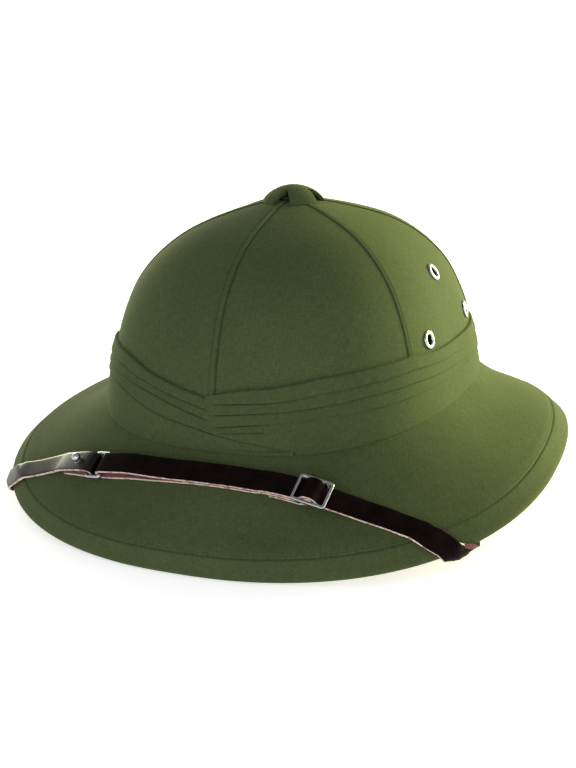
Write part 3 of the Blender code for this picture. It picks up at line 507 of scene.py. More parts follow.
def grid(rows, columns, open_rows=False, open_columns=False):
    """Row, column and corners of each face of a grid of points that closes on itself where it is not open."""
    for i in range(rows - open_rows):
        j = (i + 1) % rows
        for k in range(columns - open_columns):
            m = (k + 1) % columns
            yield i, k, (i * columns + k, i * columns + m, j * columns + m, j * columns + k)


def wall(name, fronts, backs, ring, materials, node, flat=None, sharp=60):
    """Wall lofted through sections, closed in a ring or open with two ends.

    flat[i][k] is the cloth coordinate of front point k of section i.
    """
    points = np.array([list(front) + list(back)[::-1] for front, back in zip(fronts, backs)])
    sections, around = points.shape[:2]
    half = around // 2
    if flat is None:
        steps = np.linalg.norm(np.diff(points[:, :half], axis=1), axis=2)
        v = np.hstack([np.zeros((sections, 1)), np.cumsum(steps, axis=1)])
        u = running_length(points[:, half // 2])
        flat = np.stack([np.repeat(u[:, None], half, axis=1), v], axis=2)
    flat = np.concatenate([flat, np.array(flat)[:, ::-1]], axis=1)
    if ring:
        last = flat[:1].copy()
        if np.abs(flat[-1] - flat[0]).max() > 0.1:
            last = flat[-1:] + (flat[-1:] - flat[-2:-1])
        flat = np.concatenate([flat, last])
    faces, corners, kinds = [], [], []
    for i, k, face in grid(sections, around, not ring):
        m = (k + 1) % around
        faces.append(face)
        corners += [flat[i][k], flat[i][m], flat[i + 1][m], flat[i + 1][k]]
        kinds.append(0 if k < half - 1 else 1 if k in (half - 1, around - 1) else 2)
    if not ring:
        for i in (0, sections - 1):
            for k in range(half - 1):
                ring_points = (k, k + 1, around - 2 - k, around - 1 - k)
                faces.append(tuple(i * around + q for q in ring_points))
                corners += [flat[i][q] for q in ring_points]
                kinds.append(1)
    slots = [min(kind, len(materials) - 1) for kind in kinds]
    return make_piece(name, points.reshape(-1, 3), faces, corners, materials, slots, [node], sharp)


def turned(name, profile, steps, place, material, nodes, bore=None):
    """Turned piece from (radius, height) points, a ring unless they start on the axis.

    A bore is the material of the face from the last point to the first.
    """
    points = []
    count = len(profile)
    for i in range(steps):
        angle = 2 * math.pi * i / steps
        points += [place @ Vector((r * math.cos(angle), r * math.sin(angle), h)) for r, h in profile]
    cells = list(grid(steps, count, False, profile[0][0] <= 0))
    faces = [face for _, _, face in cells]
    if bore is None:
        return make_piece(name, points, faces, None, [material], None, nodes)
    kinds = [int(k == count - 1) for _, k, _ in cells]
    return make_piece(name, points, faces, None, [material, bore], kinds, nodes)


def rounded(points):
    """Line of points with its corners cut twice, both ends kept."""
    points = np.array(points, float)
    for _ in range(2):
        low = points[:-1] * 0.75 + points[1:] * 0.25
        high = points[:-1] * 0.25 + points[1:] * 0.75
        cut = np.stack([low, high], axis=1).reshape(-1, points.shape[1])
        points = np.vstack([points[:1], cut[1:-1], points[-1:]])
    return points


def frame_at(point, normal, along=(1, 0, 0)):
    z = Vector(normal).normalized()
    x = (Vector(along) - Vector(along).dot(z) * z).normalized()
    place = Matrix((x, z.cross(x), z)).transposed().to_4x4()
    place.translation = Vector(point)
    return place


def punch(piece, place, radius, low, high):
    """A round hole through a wall."""
    bm = bmesh.new()
    size = {"radius1": radius, "radius2": radius, "depth": high - low}
    shift = Matrix.Translation((0, 0, (low + high) / 2))
    bmesh.ops.create_cone(bm, cap_ends=True, segments=32, matrix=shift, **size)
    mesh = bpy.data.meshes.new("punch")
    bm.to_mesh(mesh)
    bm.free()
    cutter = bpy.data.objects.new("punch", mesh)
    bpy.context.scene.collection.objects.link(cutter)
    cutter.matrix_world = place
    modifier = piece.modifiers.new("hole", "BOOLEAN")
    modifier.object = cutter
    modifier.solver = "EXACT"
    bpy.context.view_layer.update()
    solid = bpy.data.meshes.new_from_object(piece.evaluated_get(bpy.context.evaluated_depsgraph_get()))
    piece.modifiers.clear()
    old = piece.data
    piece.data = solid
    bpy.data.meshes.remove(old)
    bpy.data.objects.remove(cutter)


# Crown

RIDGE_WIDTH = 2.2 * MM
SEAM_GAP = 0.04 * MM
RIDGE_HEIGHT = 0.45 * MM
SEAM_ROLL = 0.55 * MM
# distances from a seam that get their own column
SEAM_COLUMNS = [d * MM for d in (0, 0.12, 0.3, 0.6, 1.2, 1.9, 2.15, 2.35, 2.55, 2.8, 3.6, 5.2, 8.0)]
MIDDLE_COLUMNS = 16
CROWN_ROWS = 84
# last step down the crown, just short of the brim
CROWN_END = 1 - 0.0015


def seam_lift(before, after):
    """Height of the cloth by its distances from the seam where it ends under, and the one where it laps."""
    lift = -SEAM_ROLL * (1 - smooth(0, 0.5 * MM, before)) + 0.12 * MM * math.exp(-before / (3 * MM))
    lap_end = smooth(RIDGE_WIDTH - 0.1 * MM, RIDGE_WIDTH + 0.25 * MM, after)
    lap = smooth(-0.1 * MM, 0.30 * MM, after) * (1 - lap_end)
    groove = math.exp(-(((after - RIDGE_WIDTH - 0.2 * MM) / (0.22 * MM)) ** 2))
    lift += RIDGE_HEIGHT * lap - 0.40 * MM * groove + 0.20 * MM * math.exp(-after / (4 * MM))
    return lift - SEAM_ROLL * (1 - smooth(0, 0.25 * MM, after))


def gore_columns(width):
    """Places across a gore of this width, from 0 at one seam to width at the other."""
    squeeze = min(1.0, width / (3 * SEAM_COLUMNS[-1]))
    edge = [d * squeeze for d in SEAM_COLUMNS]
    middle = np.linspace(edge[-1], width - edge[-1], MIDDLE_COLUMNS + 1)[1:-1]
    return edge + list(middle) + [width - d for d in edge[::-1]]


def build_gore(name, start, end):
    count = 2 * len(SEAM_COLUMNS) + MIDDLE_COLUMNS - 1
    fronts, backs, flat = ([[] for _ in range(count)] for _ in range(3))
    middle = (start + end) / 2
    turns = (start, middle, end)
    vents = [vent_step(phi) for phi in turns]
    shares = [row / CROWN_ROWS for row in range(CROWN_ROWS + 1)]
    lengths = running_length([surface(middle, vents[1] + (1 - vents[1]) * share) for share in shares])
    spread = [start + (end - start) * k / 24 for k in range(25)]
    for share, length in zip(shares, lengths):
        steps = [vent * (1 - share) + share for vent in vents]
        line = np.array([surface(phi, np.interp(phi, turns, steps)) for phi in spread])
        reach = running_length(line)
        width = reach[-1] - SEAM_GAP
        for k, d in enumerate(gore_columns(width)):
            phi = float(np.interp(d + SEAM_GAP / 2, reach, spread))
            u = min(float(np.interp(phi, turns, steps)), CROWN_END)
            lift = seam_lift(d, width - d) + ripple(surface(phi, u), 0.028, 0.12 * MM)
            fronts[k].append(skin(phi, u, -lift))
            backs[k].append(skin(phi, u, CLOTH))
            flat[k].append((d - width / 2, length))
    flat = np.array(flat)
    return wall(f"cloth_gore_{name}", fronts, backs, False, [CLOTH_STRAIGHT], f"gore_{name}", flat=flat)


gores = {name: build_gore(name, start, end) for name, start, end in zip(GORES, SEAMS[:-1], SEAMS[1:])}


# Brim

BRIM_COLUMNS = 288
SOFT_CREASE = 5.5 * MM
STITCH_GROOVE = 0.55 * MM


def ring_azimuths(count):
    return [2 * math.pi * i / count for i in range(count)]


def crease_curve(phi, t):
    """Rounded crease between brim and turned edge: t runs from 0 on the brim to 1 on the edge."""
    corner = stitch_point(phi)
    start = corner + unit(crown_base(phi) - corner) * SOFT_CREASE
    end = corner + unit(rim_point(phi) - corner) * SOFT_CREASE
    return start * (1 - t) ** 2 + corner * 2 * t * (1 - t) + end * t**2


def crease_normal(phi, t):
    return unit(surface_normal(phi, 2, -1) * (1 - t) + surface_normal(phi, 2, 1) * t)


def edge_section(phi, depth, lift):
    rim = rim_point(phi)
    return rim + unit(stitch_point(phi) - rim) * lift - depth * surface_normal(phi, 3, -1)


def crease_rows(phi, steps, fade):
    """Front and back points across the crease, with the stitched groove as deep as fade says."""
    points = [crease_curve(phi, t) for t in steps]
    normals = [crease_normal(phi, t) for t in steps]
    front = [point - normal * (STITCH_GROOVE * fade(t)) for t, point, normal in zip(steps, points, normals)]
    return front, [point - normal * CLOTH for point, normal in zip(points, normals)]


def build_brim():
    fronts, backs = [], []
    crease = (0.12, 0.24, 0.34, 0.40, 0.43, 0.455, 0.475, 0.495)
    for phi in ring_azimuths(BRIM_COLUMNS):
        reach = np.linalg.norm(stitch_point(phi) - crown_base(phi))
        start = 1 + GAP / reach
        stop = 2 - SOFT_CREASE / reach
        front, back = [], []
        for i in range(19):
            u = start + (stop - start) * i / 18
            lift = ripple(surface(phi, u), 0.035, 0.22 * MM)
            front.append(skin(phi, u, -lift))
            back.append(skin(phi, u, CLOTH))
        crease_front, crease_back = crease_rows(phi, crease, lambda t: smooth(0.42, 0.495, t))
        fronts.append(front + crease_front)
        backs.append(back + crease_back)
    flat = np.array(fronts)[:, :, :2]
    return wall("cloth_brim_cover", fronts, backs, True, [CLOTH_STRAIGHT], "brim_cover", flat=flat)


def build_binding():
    """Turned and bound edge, padded a little and rounded over the rim."""
    fronts, backs = [], []
    bulge = 0.55 * MM
    radius = EDGE_THICK / 2
    length = LIP_WIDTH - SOFT_CREASE - radius
    crease = (0.50, 0.52, 0.545, 0.58, 0.64, 0.74, 0.86)
    for phi in ring_azimuths(BRIM_COLUMNS):
        front, back = crease_rows(phi, crease, lambda t: 1 - smooth(0.50, 0.57, t))
        normal = surface_normal(phi, 3, -1)
        down = unit(rim_point(phi) - stitch_point(phi))
        start = stitch_point(phi) + down * SOFT_CREASE
        for i in range(6):
            share = i / 6
            point = start + down * length * share
            swell = bulge * math.sin(math.pi * share / 2) + ripple(point, 0.012, 0.10 * MM)
            front.append(point + normal * swell * 0.5)
            back.append(point - normal * CLOTH)
        centre = start + down * length - normal * radius
        for i in range(9):
            angle = math.pi * i / 8
            out = normal * math.cos(angle) + down * math.sin(angle)
            front.append(centre + out * (radius + bulge * 0.5 * math.cos(angle / 2) ** 2))
            back.append(centre + out * (radius - CLOTH))
        for i in range(1, 7):
            share = i / 6
            point = start + down * length * (1 - share) - down * SOFT_CREASE * 0.9 * share
            front.append(point - normal * EDGE_THICK)
            back.append(point - normal * (EDGE_THICK - CLOTH))
        fronts.append([np.maximum(point, (-1, -1, 0)) for point in front])
        backs.append(back)
    return wall("cloth_brim_binding", fronts, backs, True, [CLOTH_BIAS], "brim_binding")


build_brim()
build_binding()


STITCH_PITCH = 2.6 * MM
STITCH_LENGTH = 2.1 * MM
STITCH_RADIUS = 0.16 * MM
STITCH_SINK = 0.06 * MM
# place along a stitch, thickness, height: the last two as shares of its radius
STITCH_FORM = [(0, 0.3, -0.6), (0.25, 1, 0.25), (0.75, 1, 0.25), (1, 0.3, -0.6)]
STITCH_SIDES = 6


def interpolated(place, places, points):
    return np.array([np.interp(place, places, points[:, k]) for k in range(points.shape[1])])


def thread_run(name, line, normals):
    """Row of short raised stitches along a line."""
    line, normals = np.array(line), np.array(normals)
    reach = running_length(line)
    points, faces = [], []
    sides = STITCH_SIDES
    for i in range(int(reach[-1] / STITCH_PITCH)):
        middle = (i + 0.5) * STITCH_PITCH
        start, end = (interpolated(middle + side * STITCH_LENGTH / 2, reach, line) for side in (-1, 1))
        normal = unit(interpolated(middle, reach, normals))
        side = np.cross(normal, unit(end - start))
        base = len(points)
        for share, thick, lift in STITCH_FORM:
            centre = start + (end - start) * share + normal * STITCH_RADIUS * lift
            for q in range(sides):
                angle = 2 * math.pi * q / sides
                out = side * math.cos(angle) + normal * math.sin(angle)
                points.append(centre + STITCH_RADIUS * thick * out)
        faces += [tuple(base + q for q in face) for _, _, face in grid(len(STITCH_FORM), sides, True)]
        last = len(points)
        faces += [tuple(range(base + sides - 1, base - 1, -1)), tuple(range(last - sides, last))]
    return make_piece(name, points, faces, None, [THREADS], None, ())


def build_brim_stitches():
    angles = ring_azimuths(BRIM_COLUMNS) + [2 * math.pi]
    for name, t in (("stitches_brim_inner", 0.40), ("stitches_brim_outer", 0.59)):
        normals = [crease_normal(phi, t) for phi in angles]
        line = [crease_curve(phi, t) - normal * STITCH_SINK for phi, normal in zip(angles, normals)]
        thread_run(name, line, normals)


build_brim_stitches()


# Shell

def shell_depths(u):
    outer = CLOTH + GAP
    thin = min(max((u - 1.5) * 2, 0), 1)
    return outer, outer + SHELL_WALL + (SHELL_EDGE_WALL - SHELL_WALL) * thin


# how far the shell stops short of the rim, measured up from it
SHELL_STOP = LIP_CHAMFER + CLOTH + GAP + SOFT_CREASE * 0.5 / 4
SHELL_COLUMNS = 144


def build_shell():
    fronts, backs = [], []
    for phi in ring_azimuths(SHELL_COLUMNS):
        vent = vent_step(phi)
        steps = [vent + (1 - vent) * i / 30 for i in range(31)] + [1 + i / 14 for i in range(1, 14)]
        rows = [], []
        for u in steps:
            for row, depth in zip(rows, shell_depths(u)):
                row.append(skin(phi, u, depth + ripple(surface(phi, u), 0.02, 0.15 * MM) * (depth > 2 * MM)))
        down = unit(rim_point(phi) - stitch_point(phi))
        for row, depth, corner, edge, lift in zip(rows, shell_depths(2), (0.8, 0), (0.1, 0), (0, 0.3)):
            row.append(skin(phi, 2, depth + corner * MM) + down * (lift * MM))
            row.append(edge_section(phi, depth + edge * MM, SHELL_STOP))
        fronts.append(rows[0])
        backs.append(rows[1])
    return wall("pith_shell", fronts, backs, True, [BOARD], "shell")


shell = build_shell()


# Eyelets


def eyelet_profile(depth):
    middle = (EYELET_HOLE_RADIUS + EYELET_RADIUS) / 2
    half = (EYELET_RADIUS - EYELET_HOLE_RADIUS) / 2
    turns = np.linspace(0, math.pi, 13)
    roll = [(middle - half * math.cos(a), GAP + EYELET_FLANGE * math.sin(a)) for a in turns]
    return roll + [
        (EYELET_RADIUS - 0.1 * MM, GAP - 0.2 * MM),
        (EYELET_BARREL_RADIUS, GAP - 0.2 * MM),
        (EYELET_BARREL_RADIUS, -depth),
        (EYELET_HOLE_RADIUS + 0.2 * MM, -depth - 0.4 * MM),
        (EYELET_HOLE_RADIUS, -depth),
    ]


def build_eyelets():
    depth = CLOTH + GAP + SHELL_WALL
    profile = eyelet_profile(depth)
    for side, sign in (("left", 1), ("right", -1)):
        for name, azimuth, height in EYELETS:
            phi = math.radians(azimuth) * sign
            base = crown_base(phi)[2]
            u = crown_step_at(phi, base + (CROWN_TOP_HEIGHT - base) * height)
            place = frame_at(surface(phi, u), surface_normal(phi, u, 1))
            node = f"eyelet_{side}_{name}"
            turned(f"metal_{node}", profile, 40, place, BRIGHT, [node], bore=BORE_PAINTED_SHADE)
            for piece in (shell, gores[f"side_{side}"]):
                punch(piece, place, EYELET_BARREL_RADIUS + 0.1 * MM, -2 * depth, depth)


build_eyelets()


# Top button

def button_edge(angle):
    """Plan radius of the button's edge, cut by a notch at each quarter turn."""
    quarter = abs((angle + math.pi / 4) % (math.pi / 2) - math.pi / 4)
    tip = BUTTON_RADIUS - NOTCH_DEPTH
    slope = NOTCH_WIDTH / 2 / NOTCH_DEPTH
    # radius where the ray meets the notch's side, from the line x = slope * (r cos - tip)
    ray = math.sin(quarter) - slope * math.cos(quarter)
    notch = -slope * tip / ray if ray < 0 else BUTTON_RADIUS * 2
    facet = math.cos(math.pi / 12) / math.cos((angle % (math.pi / 6)) - math.pi / 12)
    return min(BUTTON_RADIUS * (0.985 + 0.015 * facet), notch)


def button_height(radius):
    """Height of the dome over its seat: a round cap, then a flatter flared skirt."""
    share = min(radius / BUTTON_RADIUS, 1.0)
    cap = math.sqrt(max(1 - (share * 0.98) ** 2, 0.0))
    skirt = 1 - 0.66 * share**1.7 - 0.34 * share**4
    crease = 0.35 * MM * math.exp(-(((radius - 9.5 * MM) / (0.5 * MM)) ** 2))
    return -BUTTON_LIFT + BUTTON_RISE * (0.45 * cap + 0.55 * skirt) - crease


def build_button():
    apex = np.array([0, -CROWN_CENTRE_FORWARD - CROWN_TOP_LEAN, CROWN_TOP_HEIGHT])
    fronts, backs, flat = [], [], []
    rings = 28
    for angle in ring_azimuths(BRIM_COLUMNS):
        edge = button_edge(angle)
        direction = np.array([math.sin(angle), -math.cos(angle), 0])
        front, back, cloth = [], [], []
        for k in range(rings + 1):
            radius = edge * math.sin(math.pi / 2 * k / rings)
            for row, drop in ((front, 0), (back, BUTTON_WALL)):
                inner = max(radius - (drop * 0.5 if radius > 4 * MM else 0), 0)
                height = button_height(radius) - drop * (1 - 0.3 * (k == rings))
                row.append(apex + direction * inner + np.array([0, 0, height]))
            cloth.append((direction * radius)[:2])
        fronts.append(front)
        backs.append(back)
        flat.append(cloth)
    flat = np.array(flat)
    return wall("cloth_top_button", fronts, backs, True, [CLOTH_STRAIGHT], "top_button", flat=flat, sharp=50)


build_button()


# Band

# share of the way down a pleat, or down the plain part below, and stand-off as a share of the thickness
PLEAT = [(0.07, 0.60), (0.16, 0.67), (0.40, 0.75), (0.70, 0.88), (0.90, 0.98), (0.965, 0.97), (0.985, 0.86)]
LOWER = [
    (0.06, 0.58), (0.12, 0.64), (0.20, 0.68), (0.30, 0.72), (0.38, 0.74), (0.42, 0.75), (0.46, 0.75),
    (0.50, 0.75), (0.54, 0.76), (0.60, 0.77), (0.70, 0.78), (0.80, 0.78), (0.88, 0.76), (0.94, 0.72),
    (0.985, 0.66), (1.0, 0.50),
]
# how far the foot spreads over the brim, and how high above the brim it starts to
BAND_FOOT = 2.0 * MM
FOOT_HEIGHT = 1.6 * MM
BRIM_TOUCH = 0.05 * MM
# azimuths in degrees between which the columns are close together, and their spacing
CROSSING = (-9, 27)
CROSSING_STEP = 0.3
OVERLAP = 0.44 * MM


def band_rows(marks, foot, groove):
    """(height, stand-off share) down one column of the band, whether the row is below the pleats."""
    rows = [(marks[0], 0.15, False), (marks[0] - 0.12 * MM, 0.50, False), (marks[0] - 0.5 * MM, 0.66, False)]
    for a, b in zip(marks[:-1], marks[1:]):
        rows += [(a + (b - a) * t, out, False) for t, out in PLEAT]
        rows += [(b, groove, False), (b - 0.2 * MM, groove, False)]
    return rows + [(marks[-1] + (foot - marks[-1]) * t, out, True) for t, out in LOWER]


def band_column(phi, table, foot, flare, groove, upper, lower, shift=0.0, crease=0.0):
    """Front and back points down one column of the band.

    upper and lower scale the stand-off of the pleats and of the plain part, shift lifts both off the crown,
    and flare from 0 to 1 spreads the foot over the brim.
    """
    azimuth = math.degrees(phi)
    base = crown_base(phi)[2]
    marks = [table_at(table, azimuth, k) * MM for k in (1, 2, 3, 4)]
    line = table_at(CREASE, azimuth) * MM
    reach = np.linalg.norm(stitch_point(phi) - crown_base(phi))
    front, back = [], []
    for i, (z, out, below) in enumerate(band_rows(marks, foot, groove)):
        u = crown_step_at(phi, max(z, base))
        point = surface(phi, u)
        wave = ripple(point, 0.012, 0.10 * MM) + ripple(point, 0.045, 0.25 * MM)
        if below:
            wave -= crease * math.exp(-(((z - line) / (0.35 * MM)) ** 2))
        thick = BAND_THICK * out * (lower if below else upper)
        touching = z - base < BRIM_TOUCH
        if flare and below and z < base + FOOT_HEIGHT:
            share = flare * (1 - (z - base) / FOOT_HEIGHT) ** 2
            if touching:
                u = min(u + share * BAND_FOOT / reach, 1.2)
            thick = thick * (1 - share) + (GAP * 0.4 if touching else BAND_THICK * 0.85) * share
        lift = (shift + wave * (i > 0)) * (1 - touching * flare)
        front.append(skin(phi, u, -GAP - thick - lift))
        back.append(skin(phi, min(u, 0.999), -GAP * 0.5))
    return front, back


def band_angles(start, end):
    """Columns in degrees, close together where the halves cross."""
    low, high = CROSSING
    fine = [a for a in np.arange(low, high, CROSSING_STEP) if start < a < end]
    coarse = [a for a in np.linspace(start, end, 180) if not low < a < high]
    return sorted(coarse + fine + [a for a in (start, end) if a not in coarse])


def left_column(azimuth):
    """Column of the left half, whose front end rises slantwise out of the other half's pleats."""
    phi = math.radians(azimuth)
    base = crown_base(phi)[2]
    foot = max(table_at(FOLDS_RIGHT, azimuth, 4) * MM, base) if azimuth < 25 else base
    flare = smooth(18.5, 21, azimuth)
    rise = smooth(-3.6, 1.2, azimuth)
    amount = 0.10 + 0.90 * rise
    shift = OVERLAP * rise * (1 - smooth(20, 32, azimuth))
    crease = 1.0 * MM * smooth(-1, 2, azimuth) * (1 - smooth(9, 21, azimuth))
    groove = 0.10 + 0.42 * smooth(4, 16, azimuth)
    return band_column(phi, FOLDS_LEFT, foot, flare, groove, amount, amount, shift, crease)


def right_column(azimuth):
    """Column of the right half, whose pleats sink under the other half and leave a plain tongue below."""
    phi = math.radians(azimuth)
    amount = 1.0 - 0.68 * smooth(-0.6, 4.2, azimuth)
    end = smooth(21, 24.5, azimuth)
    tongue = (1.0 - 0.45 * smooth(-2, 8, azimuth)) * (1 - 0.8 * end)
    return band_column(phi, FOLDS_RIGHT, crown_base(phi)[2], 1.0 - end, 0.08, amount, tongue)


def build_band(side, start, end, column):
    fronts, backs = zip(*(column(azimuth) for azimuth in band_angles(start, end)))
    return wall(f"cloth_band_{side}", fronts, backs, False, [CLOTH_BAND], f"band_{side}", sharp=70)


build_band("left", -7, 179.9, left_column)
build_band("right", -179.9, 25.5, right_column)


# Chin strap


# points of an outline that the places of STRAP_ROUTE count
OUTLINE_MARKS = [0, 1, 2, 8, 9, 10]


class StrapRoute:
    """The line that the chin strap follows over the brim, round its edge and under it."""

    TABLE = np.linspace(-math.pi * 0.6, math.pi * 0.6, 865)

    def __init__(self):
        built = [self.section(phi) for phi in self.TABLE]
        self.sections = np.array([points for points, _ in built])
        self.section_lengths = np.array([lengths for _, lengths in built])
        angles = np.radians([row[0] for row in STRAP_ROUTE])
        rows = np.array([(phi, self.reach(phi, row[1])) for phi, row in zip(angles, STRAP_ROUTE)])
        dense = []
        for i in range(len(rows) - 1):
            before, after = rows[max(i - 1, 0)], rows[min(i + 2, len(rows) - 1)]
            for k in range(16):
                t = k / 16
                a, b = rows[i], rows[i + 1]
                dense.append(0.5 * (
                    2 * a + (b - before) * t + (2 * before - 5 * a + 4 * b - after) * t**2
                    + (3 * a - before - 3 * b + after) * t**3
                ))
        dense.append(rows[-1])
        self.params = np.array(dense)
        points = np.array([self.outline_point(phi, b) for phi, b in self.params])
        self.lengths = running_length(points)

    @staticmethod
    def section(phi):
        start, end = edge_section(phi, 0, LIP_CHAMFER), edge_section(phi, EDGE_THICK, LIP_CHAMFER)
        centre = (start + end) / 2
        bulge = unit(rim_point(phi) - stitch_point(phi)) * EDGE_BULGE * LIP_CHAMFER
        turns = [math.pi * i / 6 for i in range(1, 6)]
        arc = [centre + (start - centre) * math.cos(turn) + bulge * math.sin(turn) for turn in turns]
        points = [skin(phi, 1, 0), skin(phi, 2, 0), start] + arc
        points += [end, skin(phi, 2, EDGE_THICK), skin(phi, 1, CLOTH + GAP + SHELL_WALL)]
        points = np.array(points)
        return points, running_length(points)

    def outline(self, phi):
        place = (phi - self.TABLE[0]) / (self.TABLE[1] - self.TABLE[0])
        i = int(min(max(place, 0), len(self.TABLE) - 2))
        t = place - i
        points = self.sections[i] * (1 - t) + self.sections[i + 1] * t
        return points, self.section_lengths[i] * (1 - t) + self.section_lengths[i + 1] * t

    def reach(self, phi, v):
        lengths = self.outline(phi)[1]
        return float(np.interp(v, range(len(OUTLINE_MARKS)), lengths[OUTLINE_MARKS]))

    def outline_point(self, phi, b):
        points, lengths = self.outline(phi)
        return interpolated(b, lengths, points)

    def length_at(self, phi):
        return float(np.interp(phi, self.params[:, 0], self.lengths))

    def param(self, s):
        return interpolated(s, self.lengths, self.params)

    def directions(self, phi, b):
        around = (self.outline_point(phi + 0.01, b) - self.outline_point(phi - 0.01, b)) / 0.02
        span = 1.2 * MM
        down = (self.outline_point(phi, b + span) - self.outline_point(phi, b - span)) / (2 * span)
        return around, down, unit(np.cross(down, around))

    def point(self, s, across, height):
        here = self.param(s)
        heading = (self.param(s + HEADING_STEP) - self.param(s - HEADING_STEP)) / (2 * HEADING_STEP)
        around, down, normal = self.directions(*here)
        tangent = unit(around * heading[0] + down * heading[1])
        side = np.cross(normal, tangent)
        shift = np.linalg.lstsq(np.array([around, down]).T, side, rcond=None)[0]
        phi, b = here + shift * across
        lift = min(height, layer_height(0))
        return self.outline_point(phi, b) + self.directions(phi, b)[2] * lift + normal * (height - lift)

    def place(self, s, height):
        low, high = self.point(s - HEADING_STEP, 0, height), self.point(s + HEADING_STEP, 0, height)
        return frame_at(self.point(s, 0, height), self.directions(*self.param(s))[2], high - low)


def layer_height(layer):
    return STRAP_REST + STRAP_THICK / 2 + layer * (STRAP_THICK + GAP)


def arc_path(centre_s, centre_h, radius, start, end, count):
    turns = [math.radians(start + (end - start) * i / count) for i in range(count + 1)]
    return [(centre_s + radius * math.cos(turn), centre_h + radius * math.sin(turn)) for turn in turns]


def spaced(start, end, height, step):
    count = max(1, round(abs(end - start) / step))
    return [(start + (end - start) * i / count, height) for i in range(count + 1)]


def hidden_path(rim_s, end_s):
    under = STRAP_EDGE_GAP + STRAP_THICK / 2
    turn = math.copysign(STRAP_TURN, rim_s - end_s)
    path = spaced(end_s, rim_s - turn, under, 12 * MM)
    path += spaced(rim_s - turn, rim_s + turn, under, 2.8 * MM)[1:]
    return path + [(rim_s + turn * 1.5, layer_height(0))]


route = StrapRoute()
FOLD_RADIUS = LOOP_WIRE / 2 + GAP + LOOP_PLAY + STRAP_THICK / 2
LOOP_CENTRE = route.length_at(LOOP_AZIMUTH)
LOOP_HALF = (LOOP_LENGTH - LOOP_WIRE) / 2
LOOP_HEIGHT = layer_height(0) + FOLD_RADIUS
BUCKLE_CENTRE = route.length_at(BUCKLE_AZIMUTH)
BUCKLE_BAR_OFFSET = (BUCKLE_LENGTH - BUCKLE_BAR) / 2
BUCKLE_HEIGHT = layer_height(2) + STRAP_THICK / 2 + GAP + BUCKLE_THICK / 2
PIN_HEIGHT = BUCKLE_HEIGHT - PIN_DROP
# share of the width, inset of the face near the edges as a share of the thickness
STRAP_SECTION = [(-0.5, 0.10), (-0.47, 0.02), (-0.38, 0), (-0.2, 0), (0, 0)]
STRAP_SECTION += [(-share, inset) for share, inset in STRAP_SECTION[-2::-1]]
RAGGED = 0.22 * MM
RIBBON_STEP = 1.2 * MM


def ribbon(node, path, materials):
    """Strap along a path of (length along the route, height).

    The materials are those of the side to the left of the path, of the edges and of the other side.
    """
    path = rounded(path)
    dense = [path[0]]
    for a, b in zip(path[:-1], path[1:]):
        count = max(1, math.ceil(np.linalg.norm(b - a) / RIBBON_STEP))
        dense += [a + (b - a) * k / count for k in range(1, count + 1)]
    path = np.array(dense)
    keep = np.concatenate([[True], np.linalg.norm(np.diff(path, axis=0), axis=1) > 0.02 * MM])
    path = path[keep]
    heading = np.diff(path, axis=0)
    heading /= np.linalg.norm(heading, axis=1)[:, None]
    before = np.vstack([heading[:1], heading])
    after = np.vstack([heading, heading[-1:]])
    normals = np.stack([-(before + after)[:, 1], (before + after)[:, 0]], axis=1)
    normals /= (1 + (before * after).sum(axis=1))[:, None]
    fronts, backs = [], []
    for i, ((s, h), normal) in enumerate(zip(path, normals)):
        for rows, sign in ((fronts, 1), (backs, -1)):
            row = []
            for share, inset in STRAP_SECTION:
                half = sign * STRAP_THICK * (0.5 - inset)
                ragged = 0.0
                if abs(share) == 0.5:
                    ragged = RAGGED * noise.noise(Vector((i * 0.55, share * 9, sign * 3.0)))
                ds, dh = normal * half
                row.append(route.point(s + ds, STRAP_WIDTH * share + math.copysign(ragged, share), h + dh))
            rows.append(row)
    return wall(f"leather_{node}", fronts, backs, False, materials, node, sharp=50)


def dome(radius, height, base, stop, steps):
    """Profile of a round top, from its middle out and down to the stop angle."""
    return [(radius * math.sin(a), base + height * math.cos(a)) for a in np.linspace(0, stop, steps)]


def build_rivet(name, end_s, direction):
    place = route.place(end_s + direction * RIVET_END, 0)
    head = STRAP_EDGE_GAP + STRAP_THICK
    foot, seat = -1 * MM, head - 0.1 * MM
    profile = dome(RIVET_HEAD_RADIUS, RIVET_HEAD, head, math.pi / 2, 9)
    profile += [(RIVET_HEAD_RADIUS, seat), (RIVET_SHANK, seat), (RIVET_SHANK, foot), (0, foot)]
    turned(f"metal_{name}", profile, 32, place, STEEL, [name])


def build_stud(seat):
    place = route.place(route.length_at(STUD_AZIMUTH), 0)
    ball = seat + STUD_COLLAR + STUD_BALL * STUD_LIFT
    stop = math.pi - math.asin(STUD_NECK / STUD_BALL)
    profile = dome(STUD_BALL, STUD_BALL, ball, stop, 20)
    collar = STUD_COLLAR_RADIUS
    profile += [(collar * 0.8, seat + STUD_COLLAR), (collar, seat + STUD_COLLAR * 0.6), (collar, seat)]
    profile += [(STUD_NECK, seat), (STUD_NECK, GAP), (0, GAP)]
    turned("metal_stud", profile, 40, place, BRIGHT, ["strap_stud"])


def build_short_strap():
    bar, height = LOOP_CENTRE - LOOP_HALF, LOOP_HEIGHT
    tip = bar - FOLD_BACK
    start = route.lengths[0] + 1 * MM
    path = hidden_path(route.length_at(RIM_AZIMUTH_RIGHT), start)
    rise = [
        (tip - 10 * MM, layer_height(0)),
        (tip - 2 * MM, layer_height(1) + GAP),
        (bar - 4 * MM, height + FOLD_RADIUS),
    ]
    path += rise + arc_path(bar - LOOP_PLAY / 2, height, FOLD_RADIUS, 90, -90, 6)
    path += [(bar - 3 * MM, layer_height(0)), (tip, layer_height(0))]
    ribbon("strap_short", path, [WORN_LEATHER, RAW_EDGE, SUEDE])
    build_rivet("rivet_right", start, 1)
    under_collar = np.interp(route.length_at(STUD_AZIMUTH) + STUD_COLLAR_RADIUS, *zip(*rise))
    build_stud(under_collar + STRAP_THICK / 2)


